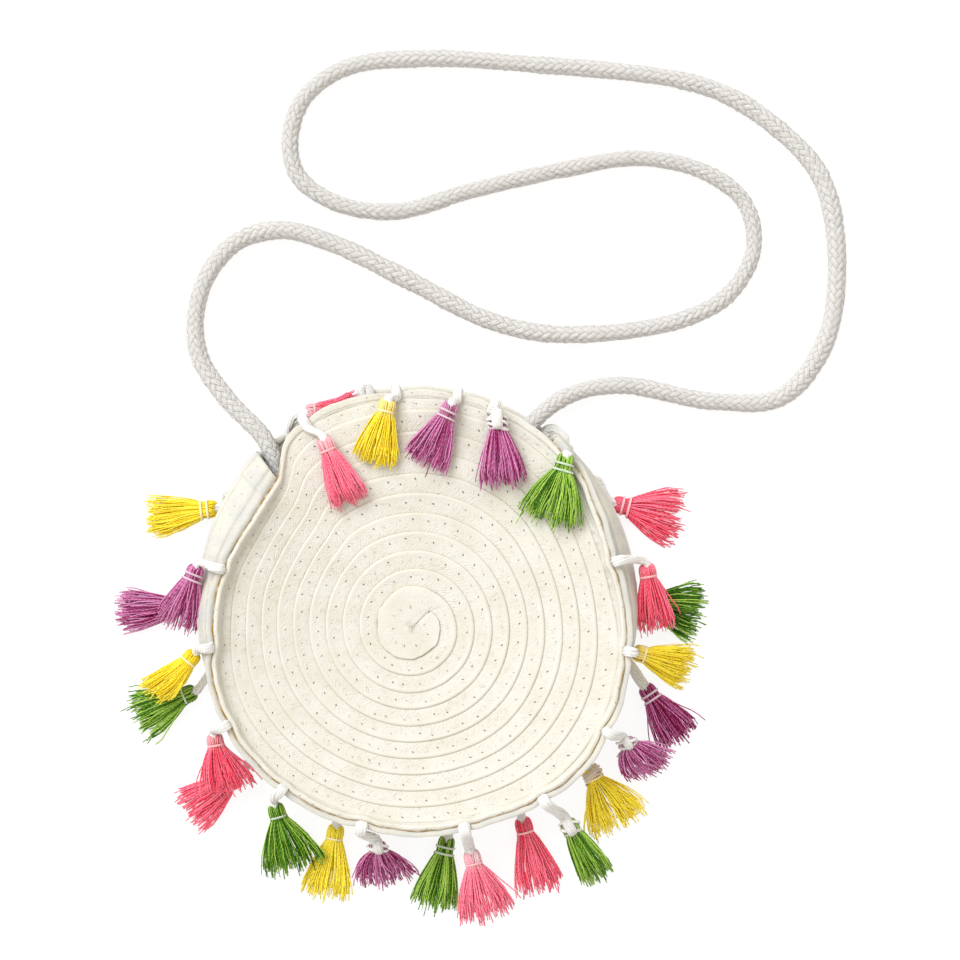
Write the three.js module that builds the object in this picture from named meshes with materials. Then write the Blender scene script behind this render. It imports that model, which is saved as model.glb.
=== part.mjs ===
// Round crossbody bag of spiral-sewn straw braid, lying on its back, with a rope strap and yarn tassels.
// Millimetres, +Z up. The origin is the middle of the back panel's underside.

import * as THREE from "three";

const { clamp, degToRad, euclideanModulo, lerp, smoothstep } = THREE.MathUtils;

// Driving dimensions of the straw body.
const BRAID = 1.5; // thickness of the sewn braid
const ROWS = 11; // turns of braid in each panel
const ROW_STEP = 0.7; // how far a row's outer edge stands over the next row
const ROW_EDGE = 0.3; // width of that step, seen from above
const COIL_RADIUS = 4; // plain middle where the braid starts
const SEAM = 1.6; // gap in the rim seams, which holds the ends of the tassel loops
const FLANGE = 5; // width of the sewn edge at both rims
const PANEL_CLEARANCE = 1; // gap under the tassels that lie on the front panel

const BACK_RADIUS = 92;
const BACK_TOP = BRAID + ROW_STEP;
const BACK_SEAM = BACK_TOP + SEAM / 2;
const FRONT_RADIUS = 90; // of the panel laid flat, before its rim is drawn up
const FRONT_CENTRE = new THREE.Vector2(2, -6); // the front has slid down over the back
const COIL_SHIFT = new THREE.Vector2(-3, -6); // where the front's braid starts, from FRONT_CENTRE
const DISH_HEIGHT = 18; // top of the front's sunken middle
const DISH_START = 0.25; // share of the way to the rim where the front begins to rise
const DISH_END = 0.97;
const DISH_POWER = 1.8;
const CREASE = { x: 2, y: 52, height: 2.2, width: 9, reach: 50 }; // soft fold across the front, near the mouth

// Front rim, seen from above: its distance from FRONT_CENTRE and the height of its top edge.
// The mouth is the low stretch, where no gusset holds the rim up.
const FRONT_RIM = [
  { angle: 4, radius: 86, top: 28 },
  { angle: 20, radius: 85, top: 28 },
  { angle: 32, radius: 87, top: 26 },
  { angle: 43, radius: 90.5, top: 21 },
  { angle: 56, radius: 92.5, top: 15.5 },
  { angle: 74, radius: 94, top: 14 },
  { angle: 100, radius: 95, top: 14 },
  { angle: 117, radius: 95.5, top: 14 },
  { angle: 127, radius: 93, top: 16 },
  { angle: 136, radius: 83.5, top: 22 },
  { angle: 145, radius: 81, top: 27 },
  { angle: 156, radius: 81.5, top: 28 },
  { angle: 169, radius: 85, top: 28 },
  { angle: 184, radius: 87, top: 28 },
  { angle: 200, radius: 91, top: 27 },
  { angle: 214, radius: 93, top: 27 },
  { angle: 250, radius: 91.5, top: 27 },
  { angle: 287, radius: 91, top: 27 },
  { angle: 310, radius: 93.5, top: 27 },
  { angle: 332, radius: 92, top: 27 },
  { angle: 350, radius: 88.5, top: 28 },
];
const MOUTH_TOP = 14; // height of the rim at the mouth
const LIP_LOW = 0.8; // height of the turned-up lip at the mouth
const LIP_HIGH = 5; // and where the gusset holds it up
const LIP_RISE = 14; // rim height above the mouth at which the lip is full
const LIP_FOOT = 0.6; // how far the lip's foot runs in under the panel

// Gusset: the braid strip between the rims, open at the mouth.
const GUSSET = { from: 139, to: 412, wall: 1.8, hem: 1.2, hemAngle: 7, bulge: 93.5, turnUp: 3.5 };

// Strap: a round braided rope.
const ROPE_DIAMETER = 7.6;
const ROPE_SIDES = 8;
const ROPE_STEPS = 78;

// Facets of the panels and the gusset.
const PANEL_COLUMNS = 48;
const BACK_COLUMNS = 36;
const GUSSET_COLUMNS = 40;
const LINING_SHARES = [0.86, 0.65, 0.42, 0.2, 0]; // rings of the inner side, from the rim to the middle
const ROW_FADE = 3; // the last row's step sinks into the flange over a turn divided by this

const COLOURS = {
  straw: "#efe9da",
  rope: "#e4e1da",
  cotton: "#dedcd6",
  pink: "#e8475f",
  yellow: "#e2b423",
  purple: "#8a2a6b",
  green: "#4d861f",
};

// Small helpers for points and closed solids.

const direction = (angle) => new THREE.Vector2(Math.cos(degToRad(angle)), Math.sin(degToRad(angle)));
const raised = (flat, z) => new THREE.Vector3(flat.x, flat.y, z);
const onFront = (angle, radius, z) => raised(direction(angle).multiplyScalar(radius).add(FRONT_CENTRE), z);
const onBack = (angle, radius, z) => raised(direction(angle).multiplyScalar(radius), z);

// A smooth curve through one column of a table whose rows have an angle, all the way round.
function aroundRim(table, column) {
  const row = (k) => {
    const turn = Math.floor(k / table.length);
    const found = table[k - turn * table.length];
    return { at: found.angle + 360 * turn, value: found[column] };
  };
  return (angle) => {
    const at = euclideanModulo(angle - table[0].angle, 360) + table[0].angle;
    let k = table.length - 1;
    while (table[k].angle > at) k -= 1;
    const [before, low, high, after] = [row(k - 1), row(k), row(k + 1), row(k + 2)];
    const span = high.at - low.at;
    const t = (at - low.at) / span;
    const lowSlope = ((high.value - before.value) / (high.at - before.at)) * span;
    const highSlope = ((after.value - low.value) / (after.at - low.at)) * span;
    const bend = 2 * (low.value - high.value) + lowSlope + highSlope;
    const curve = 3 * (high.value - low.value) - 2 * lowSlope - highSlope;
    return low.value + t * (lowSlope + t * (curve + t * bend));
  };
}

// Fills the band between two lines of points. Each line is sorted by key, and equal keys face each other.
function zip(triangles, left, right) {
  let i = 0;
  let j = 0;
  while (i < left.length - 1 || j < right.length - 1) {
    const nextLeft = i < left.length - 1 ? left[i + 1].key : Infinity;
    const nextRight = j < right.length - 1 ? right[j + 1].key : Infinity;
    if (nextRight <= nextLeft) {
      triangles.push([left[i].at, right[j].at, right[j + 1].at]);
      j += 1;
    }
    if (nextLeft <= nextRight) {
      triangles.push([left[i].at, right[j].at, left[i + 1].at]);
      i += 1;
    }
  }
}

// A geometry from triangles that close on themselves, with its faces pointing out.
function closedGeometry(triangles) {
  const sound = triangles.filter(
    ([a, b, c]) => a.distanceTo(b) > 1e-4 && b.distanceTo(c) > 1e-4 && c.distanceTo(a) > 1e-4,
  );
  const volume = sound.reduce((sum, [a, b, c]) => sum + a.dot(b.clone().cross(c)), 0);
  const corners = sound.flatMap(([a, b, c]) => (volume < 0 ? [a, c, b] : [a, b, c]));
  return new THREE.BufferGeometry().setFromPoints(corners);
}

// A closed tube through rings of points, with a fan over each end.
function loft(rings) {
  const triangles = [];
  const wrapped = rings.map((ring) => [...ring, { key: 1, at: ring[0].at }]);
  wrapped.slice(1).forEach((ring, i) => zip(triangles, wrapped[i], ring));
  [wrapped[0], wrapped.at(-1)].forEach((ring, end) => {
    const middle = ring.slice(1).reduce((sum, { at }) => sum.add(at), new THREE.Vector3());
    middle.divideScalar(ring.length - 1);
    ring.slice(1).forEach(({ at }, i) => {
      triangles.push(end ? [middle, at, ring[i].at] : [middle, ring[i].at, at]);
    });
  });
  return closedGeometry(triangles);
}

// Front rim and the surface of the front panel.

const rimRadius = aroundRim(FRONT_RIM, "radius");
const rimTop = aroundRim(FRONT_RIM, "top");
const lipHeight = (angle) => lerp(LIP_LOW, LIP_HIGH, clamp((rimTop(angle) - MOUTH_TOP) / LIP_RISE, 0, 1));

const fromFrontCentre = (x, y) => {
  const offset = new THREE.Vector2(x, y).sub(FRONT_CENTRE);
  return { angle: THREE.MathUtils.radToDeg(offset.angle()), distance: offset.length() };
};

// Height of the front panel without its rows: a sunken middle, a rise to the rim and the crease by the mouth.
function frontHeight(x, y) {
  const { angle, distance } = fromFrontCentre(x, y);
  const share = (distance / rimRadius(angle) - DISH_START) / (DISH_END - DISH_START);
  const foot = rimTop(angle) - lipHeight(angle);
  const fold = Math.exp(-(((y - CREASE.y) / CREASE.width) ** 2) - ((x - CREASE.x) / CREASE.reach) ** 4);
  return lerp(DISH_HEIGHT, foot, clamp(share, 0, 1) ** DISH_POWER) + CREASE.height * fold;
}

// Height on which a tassel rests that lies on the front: the panel's rows, or the lip near the rim.
function frontRest(x, y) {
  const { angle, distance } = fromFrontCentre(x, y);
  const lipStart = rimRadius(angle) - FLANGE;
  const lip = rimTop(angle) * smoothstep(distance, lipStart - 3, lipStart + 1);
  return Math.max(frontHeight(x, y) + ROW_STEP, lip) + PANEL_CLEARANCE;
}

// A panel of braid that winds outwards from its middle, each row lapping over the next one.
// face gives its outer side, edge the points round its rim, and lining its inner side.
function spiralPanel({ columns, turn, radius, face, edge, lining }) {
  const pitch = (radius - FLANGE + 1 - COIL_RADIUS) / ROWS;
  const profile = (j) => {
    const angle = (turn * 360 * j) / columns;
    const points = [
      { key: -3, at: face(angle, 0, 0) },
      { key: -2, at: face(angle, COIL_RADIUS - 1, ROW_STEP) },
    ];
    const first = j === columns ? -1 : 0;
    const last = j === 0 ? ROWS : ROWS - 1;
    for (let row = first; row <= last; row += 1) {
      const turns = row + j / columns;
      const step = ROW_STEP * clamp((ROWS - turns) * ROW_FADE, 0, 1);
      points.push({ key: row, at: face(angle, COIL_RADIUS + pitch * turns, step) });
      if (turns < ROWS) {
        points.push({ key: row + 0.5, at: face(angle, COIL_RADIUS + pitch * turns + ROW_EDGE, 0) });
      }
    }
    edge(angle).forEach((at, k) => points.push({ key: 100 + k, at }));
    LINING_SHARES.forEach((share, k) => {
      points.push({ key: 200 + k, at: lining(angle, share * radius) });
    });
    return points;
  };
  const triangles = [];
  for (let j = 0; j < columns; j += 1) zip(triangles, profile(j), profile(j + 1));
  return closedGeometry(triangles);
}

function frontPanel() {
  const place = (angle, flatRadius) => {
    const share = (flatRadius / FRONT_RADIUS) ** 2;
    const radius = flatRadius * lerp(1, rimRadius(angle) / FRONT_RADIUS, share);
    return direction(angle).multiplyScalar(radius).add(FRONT_CENTRE).addScaledVector(COIL_SHIFT, 1 - share);
  };
  const surface = (angle, flatRadius, lift) => {
    const flat = place(angle, flatRadius);
    return raised(flat, frontHeight(flat.x, flat.y) + lift);
  };
  return spiralPanel({
    columns: PANEL_COLUMNS,
    turn: -1,
    radius: FRONT_RADIUS,
    face: (angle, flatRadius, step) => surface(angle, flatRadius, flatRadius ? step : ROW_STEP),
    edge: (angle) => {
      const radius = rimRadius(angle);
      const top = rimTop(angle);
      const foot = top - lipHeight(angle);
      return [
        onFront(angle, radius - BRAID - LIP_FOOT, foot),
        onFront(angle, radius - BRAID, top),
        onFront(angle, radius, top),
        onFront(angle, radius, foot - BRAID + LIP_FOOT),
        onFront(angle, radius - BRAID - LIP_FOOT, foot - BRAID),
      ];
    },
    lining: (angle, flatRadius) => surface(angle, flatRadius, -BRAID),
  });
}

function backPanel() {
  return spiralPanel({
    columns: BACK_COLUMNS,
    turn: 1,
    radius: BACK_RADIUS,
    face: (angle, radius, step) => onBack(angle, radius, radius ? ROW_STEP - step : 0),
    edge: (angle) => [
      onBack(angle, BACK_RADIUS - 1, ROW_STEP / 2),
      onBack(angle, BACK_RADIUS, ROW_STEP),
      onBack(angle, BACK_RADIUS, BACK_TOP),
    ],
    lining: (angle, radius) => onBack(angle, radius, BACK_TOP),
  });
}

// The gusset's wall in section, from its edge on the back seam to its edge on the front seam.
// share is how far its centre has moved from the back panel's middle to the front's.
function gussetSection(angle) {
  const top = rimTop(angle);
  const lip = rimRadius(angle) + SEAM + GUSSET.wall / 2;
  const flange = BACK_TOP + SEAM + GUSSET.wall / 2;
  return [
    { share: 0, radius: BACK_RADIUS - 0.5, z: flange },
    { share: 0, radius: BACK_RADIUS - FLANGE, z: flange },
    { share: 0.2, radius: GUSSET.bulge - GUSSET.wall, z: flange + GUSSET.turnUp },
    { share: 0.5, radius: GUSSET.bulge, z: top / 2 },
    { share: 0.8, radius: lerp(lip, GUSSET.bulge, 0.5), z: lerp(top / 2, top - FLANGE, 0.7) },
    { share: 1, radius: lip, z: top - FLANGE + 0.5 },
    { share: 1, radius: lip, z: top - 0.4 },
  ];
}

function gusset() {
  const profile = (angle) => {
    const section = gussetSection(angle);
    const toEnd = Math.min(angle - GUSSET.from, GUSSET.to - angle);
    const hem = toEnd < GUSSET.hemAngle ? GUSSET.hem : 0;
    const side = (offset) =>
      section.map(({ share, radius, z }, i) => {
        const before = section[Math.max(i - 1, 0)];
        const after = section[Math.min(i + 1, section.length - 1)];
        const normal = new THREE.Vector2(after.z - before.z, before.radius - after.radius).setLength(offset);
        const flat = direction(angle).multiplyScalar(radius + normal.x).addScaledVector(FRONT_CENTRE, share);
        return raised(flat, z + normal.y);
      });
    const loop = [...side(GUSSET.wall / 2 + hem), ...side(-GUSSET.wall / 2).reverse()];
    return loop.map((at, i) => ({ key: i / loop.length, at }));
  };
  const column = (_, i) => profile(lerp(GUSSET.from, GUSSET.to, i / GUSSET_COLUMNS));
  return loft(Array.from({ length: GUSSET_COLUMNS + 1 }, column));
}

// Strap route, from its end sewn inside the mouth's left corner to the end inside its right corner.
// It lies on the floor apart from the two ends, which climb over the back panel's rim.
const ROPE_LOW = ROPE_DIAMETER / 2 + 0.2;
const ROPE_IN = BACK_TOP + ROPE_DIAMETER / 2 + 1;
const ROPE_ROUTE = [
  [-58, 47, ROPE_IN],
  [-60, 58, ROPE_IN],
  [-65, 69, ROPE_IN],
  [-82, 87, 5],
  [-93, 104, ROPE_LOW],
  [-95, 120, ROPE_LOW],
  [-90, 139, ROPE_LOW],
  [-77, 154, ROPE_LOW],
  [-58, 159, ROPE_LOW],
  [-35, 153, ROPE_LOW],
  [-2, 137, ROPE_LOW],
  [32, 120, ROPE_LOW],
  [63, 114, ROPE_LOW],
  [114, 120, ROPE_LOW],
  [136, 132, ROPE_LOW],
  [146, 151, ROPE_LOW],
  [142, 171, ROPE_LOW],
  [125, 184, ROPE_LOW],
  [97, 190, ROPE_LOW],
  [63, 185, ROPE_LOW],
  [24, 176, ROPE_LOW],
  [-9, 167, ROPE_LOW],
  [-35, 171, ROPE_LOW],
  [-51, 183, ROPE_LOW],
  [-54, 199, ROPE_LOW],
  [-48, 216, ROPE_LOW],
  [-30, 229, ROPE_LOW],
  [2, 233, ROPE_LOW],
  [45, 231, ROPE_LOW],
  [125, 221, ROPE_LOW],
  [155, 204, ROPE_LOW],
  [175, 182, ROPE_LOW],
  [182, 148, ROPE_LOW],
  [177, 111, ROPE_LOW],
  [158, 87, ROPE_LOW],
  [129, 85, ROPE_LOW],
  [88, 92, ROPE_LOW],
  [65, 87, 5],
  [50, 75, ROPE_IN],
  [44, 64, ROPE_IN],
];

function strap() {
  const points = ROPE_ROUTE.map((point) => new THREE.Vector3(...point));
  const route = new THREE.CatmullRomCurve3(points, false, "centripetal");
  const corner = (_, i) => direction((360 * i) / ROPE_SIDES).multiplyScalar(ROPE_DIAMETER / 2);
  const section = new THREE.Shape(Array.from({ length: ROPE_SIDES }, corner));
  return new THREE.ExtrudeGeometry(section, { steps: ROPE_STEPS, extrudePath: route, bevelEnabled: false });
}

// Tassels: at is the angle of the loop on its rim. head is where the loop meets the yarn and tip the middle
// of the skirt's end, both seen from above and measured from FRONT_CENTRE. spread and depth are the skirt's
// width and thickness at its end. headUp and tipUp are the heights of the underside, over the floor or the
// front panel.
const TASSEL_COLUMNS = [
  "rim", "lies", "yarn", "at", "headX", "headY", "tipX", "tipY", "spread", "depth", "headUp", "tipUp",
];
const TASSEL_ROWS = [
  ["front", "panel", "pink", 121, -41, 75, -30, 49, 18, 5, 0, 0],
  ["front", "panel", "yellow", 96, -13, 90, -19, 63, 20, 5, 0, 0],
  ["front", "panel", "purple", 80, 14, 88, 3, 63, 21, 5, 0, 0],
  ["front", "panel", "purple", 70, 33, 85, 36, 57, 21, 5, 0, 0],
  ["front", "panel", "green", 46, 64, 66, 57, 38, 27, 5, 0, 0],
  ["front", "floor", "pink", 15, 97, 21, 102, -5, 17, 5, 17, 9],
  ["front", "floor", "yellow", 350, 95, -17, 117, -24, 19, 5, 11, 0.3],
  ["front", "floor", "purple", 328, 88, -54, 98, -70, 20, 12, 12, 0.3],
  ["front", "floor", "green", 304, 63, -89, 77, -114, 16, 5, 10, 0.3],
  ["front", "floor", "pink", 282, 22, -102, 29, -130, 27, 5, 10, 5.5],
  ["front", "floor", "purple", 255, -18, -98, -16, -117, 24, 6, 12, 0.3],
  ["front", "floor", "green", 232, -62, -82, -54, -109, 29, 5, 11, 6],
  ["front", "floor", "pink", 210, -88, -52, -84, -75, 25, 5, 11, 9.5],
  ["front", "floor", "yellow", 189, -96, -17, -111, -36, 18, 5, 11, 7],
  ["front", "floor", "purple", 167, -97, 20, -105, -4, 21, 5, 18, 9.5],
  ["back", "floor", "yellow", 151, -89, 45, -117, 41, 19, 5, 0.3, 0.3],
  ["back", "floor", "purple", 176, -99, 3, -128, 0, 19, 5, 0.3, 0.3],
  ["back", "floor", "green", 200, -97, -34, -121, -45, 23, 5, 0.3, 0.3],
  ["back", "floor", "pink", 223, -78, -71, -99, -86, 22, 5, 0.3, 0.3],
  ["back", "floor", "yellow", 248, -36, -92, -41, -121, 22, 5, 0.3, 0.3],
  ["back", "floor", "green", 277, 12, -97, 6, -126, 22, 5, 0.3, 0.3],
  ["back", "floor", "pink", 297, 44, -89, 52, -119, 21, 5, 0.3, 0.3],
  ["back", "floor", "yellow", 318, 73, -67, 86, -91, 29, 5, 0.3, 0.3],
  ["back", "floor", "purple", 344, 97, -32, 112, -54, 21, 5, 0.3, 0.3],
  ["back", "floor", "green", 5, 95, 5, 120, 0, 27, 5, 0.3, 0.3],
  ["back", "floor", "pink", 33, 86, 47, 113, 40, 28, 5, 0.3, 0.3],
  ["back", "mouth", "pink", 125, -49, 86, -29, 88.5, 12, 4, 2.7, 2.7],
];
const named = (row) => Object.fromEntries(TASSEL_COLUMNS.map((column, i) => [column, row[i]]));
const TASSELS = TASSEL_ROWS.map(named);

// Loops of the back rim whose tassels lie hidden: the middle of each loop's angle on the rim and its reach.
const LONE_LOOPS = [
  { name: "loop_back_right", at: 49.5, reach: 4.6 },
  { name: "loop_back_top", at: 103.5, reach: 2.6 },
];

// A tassel's outline from the top of its head to its skirt's end: skirt is the share of the full spread.
const TASSEL_OUTLINE = [
  { along: 0, width: 3.4, depth: 2.6, skirt: 0 },
  { along: 0.1, width: 8.6, depth: 7.4, skirt: 0 },
  { along: 0.21, width: 8.8, depth: 7.4, skirt: 0 },
  { along: 0.28, width: 7, depth: 6, skirt: 0 },
  { along: 0.62, width: 7, depth: 6, skirt: 0.6 },
  { along: 1, width: 7, depth: 6, skirt: 1 },
];
const LOCKS = 5;
const LOCK_RELIEF = 0.14; // how far the locks stand out from the hollows between them
const LOCK_LENGTH = 3; // how much longer a lock's middle is than its sides
// Cotton loop: width, thickness and reach of its free part, the thickness of its tongue in the seam and how
// far that is tucked in. halfAngle and strand are the half opening and the cord's width of a loop on its own.
const LOOP = { width: 4.4, thickness: 1.5, reach: 2.4, tongue: 0.4, tuck: 3.5, halfAngle: 2.4, strand: 2 };

// The loop's path: out of the seam, over the rim's edge and towards the head.
function loopPath({ rim, lies, at }) {
  const flat = { width: LOOP.width, thickness: LOOP.tongue };
  const full = { width: LOOP.width, thickness: LOOP.thickness };
  if (lies === "mouth") {
    return [
      { point: onBack(at + 4, BACK_RADIUS - LOOP.tuck, BACK_SEAM), ...flat },
      { point: onBack(at + 1.5, BACK_RADIUS - 1, BACK_SEAM), ...flat },
      { point: onBack(at - 1, BACK_RADIUS + 0.6, BACK_SEAM + 1), ...full },
    ];
  }
  if (rim === "back") {
    return [
      { point: onBack(at, BACK_RADIUS - LOOP.tuck, BACK_SEAM), ...flat },
      { point: onBack(at, BACK_RADIUS + 0.6, BACK_SEAM), ...flat },
      { point: onBack(at, BACK_RADIUS + LOOP.reach, BACK_SEAM - 0.6), ...full },
    ];
  }
  const seam = rimRadius(at) + SEAM / 2;
  const top = rimTop(at);
  const over = lies === "panel" ? seam - 4.5 : seam + 4.2;
  return [
    { point: onFront(at, seam, top - LOOP.tuck), ...flat },
    { point: onFront(at, seam, top + 0.9), ...flat },
    { point: onFront(at, over, top + 1.4), ...full },
  ];
}

// One ring of a flat strip with pointed edges.
function stripRing(point, side, heading, width, thickness) {
  const across = side.clone().setLength(width / 2);
  const up = side.clone().cross(heading).setLength(thickness / 2);
  const corners = [across, up, across.clone().negate(), up.clone().negate()];
  return corners.map((corner, k) => ({ key: k / corners.length, at: point.clone().add(corner) }));
}

// A loop on its own: a cord that leaves the back seam, turns round beyond the rim and goes back in.
function loneLoop({ at, reach }) {
  const ends = [-LOOP.halfAngle, LOOP.halfAngle].map((turn) => at + turn);
  const points = [
    onBack(ends[0], BACK_RADIUS - LOOP.tuck, BACK_SEAM),
    onBack(ends[0], BACK_RADIUS, BACK_SEAM),
    onBack(at, BACK_RADIUS + reach, BACK_SEAM),
    onBack(ends[1], BACK_RADIUS, BACK_SEAM),
    onBack(ends[1], BACK_RADIUS - LOOP.tuck, BACK_SEAM),
  ];
  const rings = points.map((point, i) => {
    const before = points[Math.max(i - 1, 0)];
    const heading = (points[i + 1] ?? point).clone().sub(before);
    const side = new THREE.Vector3(-heading.y, heading.x, 0);
    return stripRing(point, side, heading, LOOP.strand, 2 * LOOP.tongue);
  });
  return loft(rings);
}

function tassel(row) {
  const head = new THREE.Vector2(row.headX, row.headY).add(FRONT_CENTRE);
  const tip = new THREE.Vector2(row.tipX, row.tipY).add(FRONT_CENTRE);
  const along = tip.clone().sub(head).normalize();
  const across = new THREE.Vector2(along.y, -along.x);
  const underside = (x, y, share) => {
    const up = lerp(row.headUp, row.tipUp, share);
    return row.lies === "panel" ? frontRest(x, y) + up : up;
  };

  const seamLine = direction(row.lies === "mouth" ? row.at : row.at + 90);
  const acrossRim = seamLine.multiplyScalar(Math.sign(seamLine.dot(across)) || 1);
  const path = loopPath(row);
  const loopRings = path.map(({ point, width, thickness }, i) => {
    const next = path[i + 1]?.point ?? raised(head, point.z);
    const heading = next.clone().sub(path[Math.max(i - 1, 0)].point);
    const side = raised(acrossRim.clone().lerp(across, i === 2 ? 0.5 : 0), 0);
    return stripRing(point, side, heading, width, thickness);
  });

  const bodyRings = TASSEL_OUTLINE.map(({ along: share, width, depth, skirt }) => {
    const halfWidth = lerp(width, row.spread, skirt) / 2;
    const halfDepth = lerp(depth, row.depth, skirt) / 2;
    return Array.from({ length: 2 * LOCKS }, (_, k) => {
      const turn = (Math.PI * k) / LOCKS;
      const lock = k % 2 ? -1 : 1;
      const relief = 1 + (skirt ? LOCK_RELIEF * (lock - 1) : 0);
      const flat = head.clone().lerp(tip, share).addScaledVector(across, Math.cos(turn) * halfWidth * relief);
      flat.addScaledVector(along, skirt === 1 ? (lock * LOCK_LENGTH) / 2 : 0);
      const z = underside(flat.x, flat.y, share) + halfDepth * (1 + Math.sin(turn) * relief);
      return { key: k / (2 * LOCKS), at: raised(flat, z) };
    });
  });
  return loft([...loopRings, ...bodyRings]);
}

// Assembly

const bag = new THREE.Group();

function addPiece(name, geometry, colour, roughness) {
  const material = new THREE.MeshStandardMaterial({ color: COLOURS[colour], roughness, metalness: 0 });
  const piece = new THREE.Mesh(geometry, material);
  piece.name = name;
  bag.add(piece);
}

addPiece("back_panel", backPanel(), "straw", 0.8);
addPiece("front_panel", frontPanel(), "straw", 0.8);
addPiece("gusset", gusset(), "straw", 0.8);
addPiece("strap", strap(), "rope", 0.9);
for (const rim of ["front", "back"]) {
  TASSELS.filter((row) => row.rim === rim).forEach((row, i) => {
    addPiece(`tassel_${rim}_${String(i + 1).padStart(2, "0")}_${row.yarn}`, tassel(row), row.yarn, 0.7);
  });
}

LONE_LOOPS.forEach((loop) => addPiece(loop.name, loneLoop(loop), "cotton", 0.9));

export default bag;
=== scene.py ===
"""A round straw crossbody bag with a rope strap and yarn tassels, lying on its back."""

import math
from functools import partial

import bmesh
import bpy
import numpy as np
from bpy.props import FloatProperty, FloatVectorProperty, IntProperty, PointerProperty
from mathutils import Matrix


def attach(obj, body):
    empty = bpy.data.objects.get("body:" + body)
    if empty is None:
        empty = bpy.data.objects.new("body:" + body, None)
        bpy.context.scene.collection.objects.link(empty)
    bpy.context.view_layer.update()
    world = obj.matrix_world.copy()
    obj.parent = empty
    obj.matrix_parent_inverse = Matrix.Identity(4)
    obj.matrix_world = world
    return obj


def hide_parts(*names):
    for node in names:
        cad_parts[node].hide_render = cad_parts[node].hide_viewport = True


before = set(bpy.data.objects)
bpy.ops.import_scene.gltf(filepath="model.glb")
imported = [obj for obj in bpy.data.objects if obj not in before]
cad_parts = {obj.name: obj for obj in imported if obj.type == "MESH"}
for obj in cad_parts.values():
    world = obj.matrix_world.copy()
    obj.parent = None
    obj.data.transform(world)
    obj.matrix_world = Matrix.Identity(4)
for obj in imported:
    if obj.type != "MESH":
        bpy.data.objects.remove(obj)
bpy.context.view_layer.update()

bl_info = {
    "name": "Tasselled straw bag",
    "version": (1, 0, 0),
    "blender": (4, 5, 0),
    "location": "View3D > Sidebar > Straw bag",
    "description": "Builds the looks of a round straw bag with a rope strap and yarn tassels",
    "category": "Object",
}

MM = 0.001  # sizes below are in millimetres, and Blender's are in metres
SEED = 7  # start of every random draw

# Straw body, with the sizes of the part's source. For the look of the mouth the crease's height, LIP_LOW and
# the angle at which the gusset starts are a little smaller than there.
ROWS = 11  # turns of braid in each panel
ROW_STEP = 0.7  # how far a row's outer edge stands over the next row
COIL_RADIUS = 4.0  # plain middle where the braid starts
BRAID = 1.5  # thickness of the sewn braid
SEAM = 1.6  # gap in the rim seams, which holds the ends of the loops
FLANGE = 5.0  # width of the sewn edge at both rims
BACK_RADIUS = 92.0
BACK_TOP = BRAID + ROW_STEP
BACK_SEAM = BACK_TOP + SEAM / 2
FRONT_RADIUS = 90.0  # of the panel laid flat, before its rim is drawn up
FRONT_CENTRE = np.array([2.0, -6.0])
COIL_SHIFT = np.array([-3.0, -6.0])  # where the front's braid starts, from FRONT_CENTRE
DISH_HEIGHT = 18.0  # top of the front's sunken middle
DISH_START = 0.25  # share of the way to the rim where the front begins to rise
DISH_END = 0.97
DISH_POWER = 1.8
CREASE = {"x": 2.0, "y": 52.0, "height": 1.7, "width": 9.0, "reach": 50.0}  # soft fold across the front
MOUTH_TOP = 14.0  # height of the rim at the mouth
LIP_LOW = 0.35  # height of the turned-up lip at the mouth
LIP_HIGH = 5.0  # and where the gusset holds it up
LIP_RISE = 14.0  # rim height above the mouth at which the lip is full
GUSSET = {
    "from": 136.2, "to": 412.0,  # degrees
    "wall": 1.8,  # thickness
    "hem": 1.2, "hem_angle": 7.0,  # thickness that a folded end adds, and degrees that it reaches
    "bulge": 93.5, "turn_up": 3.5,  # radius half way up, and rise of its foot over the back seam
}
PANEL_CLEARANCE = 1.0  # gap under the tassels that lie on the front panel

# Front rim: angle, distance from FRONT_CENTRE and height of its top edge.
FRONT_RIM = np.array([
    (4, 86, 28), (20, 85, 28), (32, 87, 26), (43, 90.5, 21), (56, 92.5, 15.5), (74, 94, 14), (100, 95, 14),
    (117, 95.5, 14), (127, 93, 16), (136, 83.5, 22), (145, 81, 27), (156, 81.5, 28), (169, 85, 28),
    (184, 87, 28), (200, 91, 27), (214, 93, 27), (250, 91.5, 27), (287, 91, 27), (310, 93.5, 27),
    (332, 92, 27), (350, 88.5, 28),
])

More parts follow.
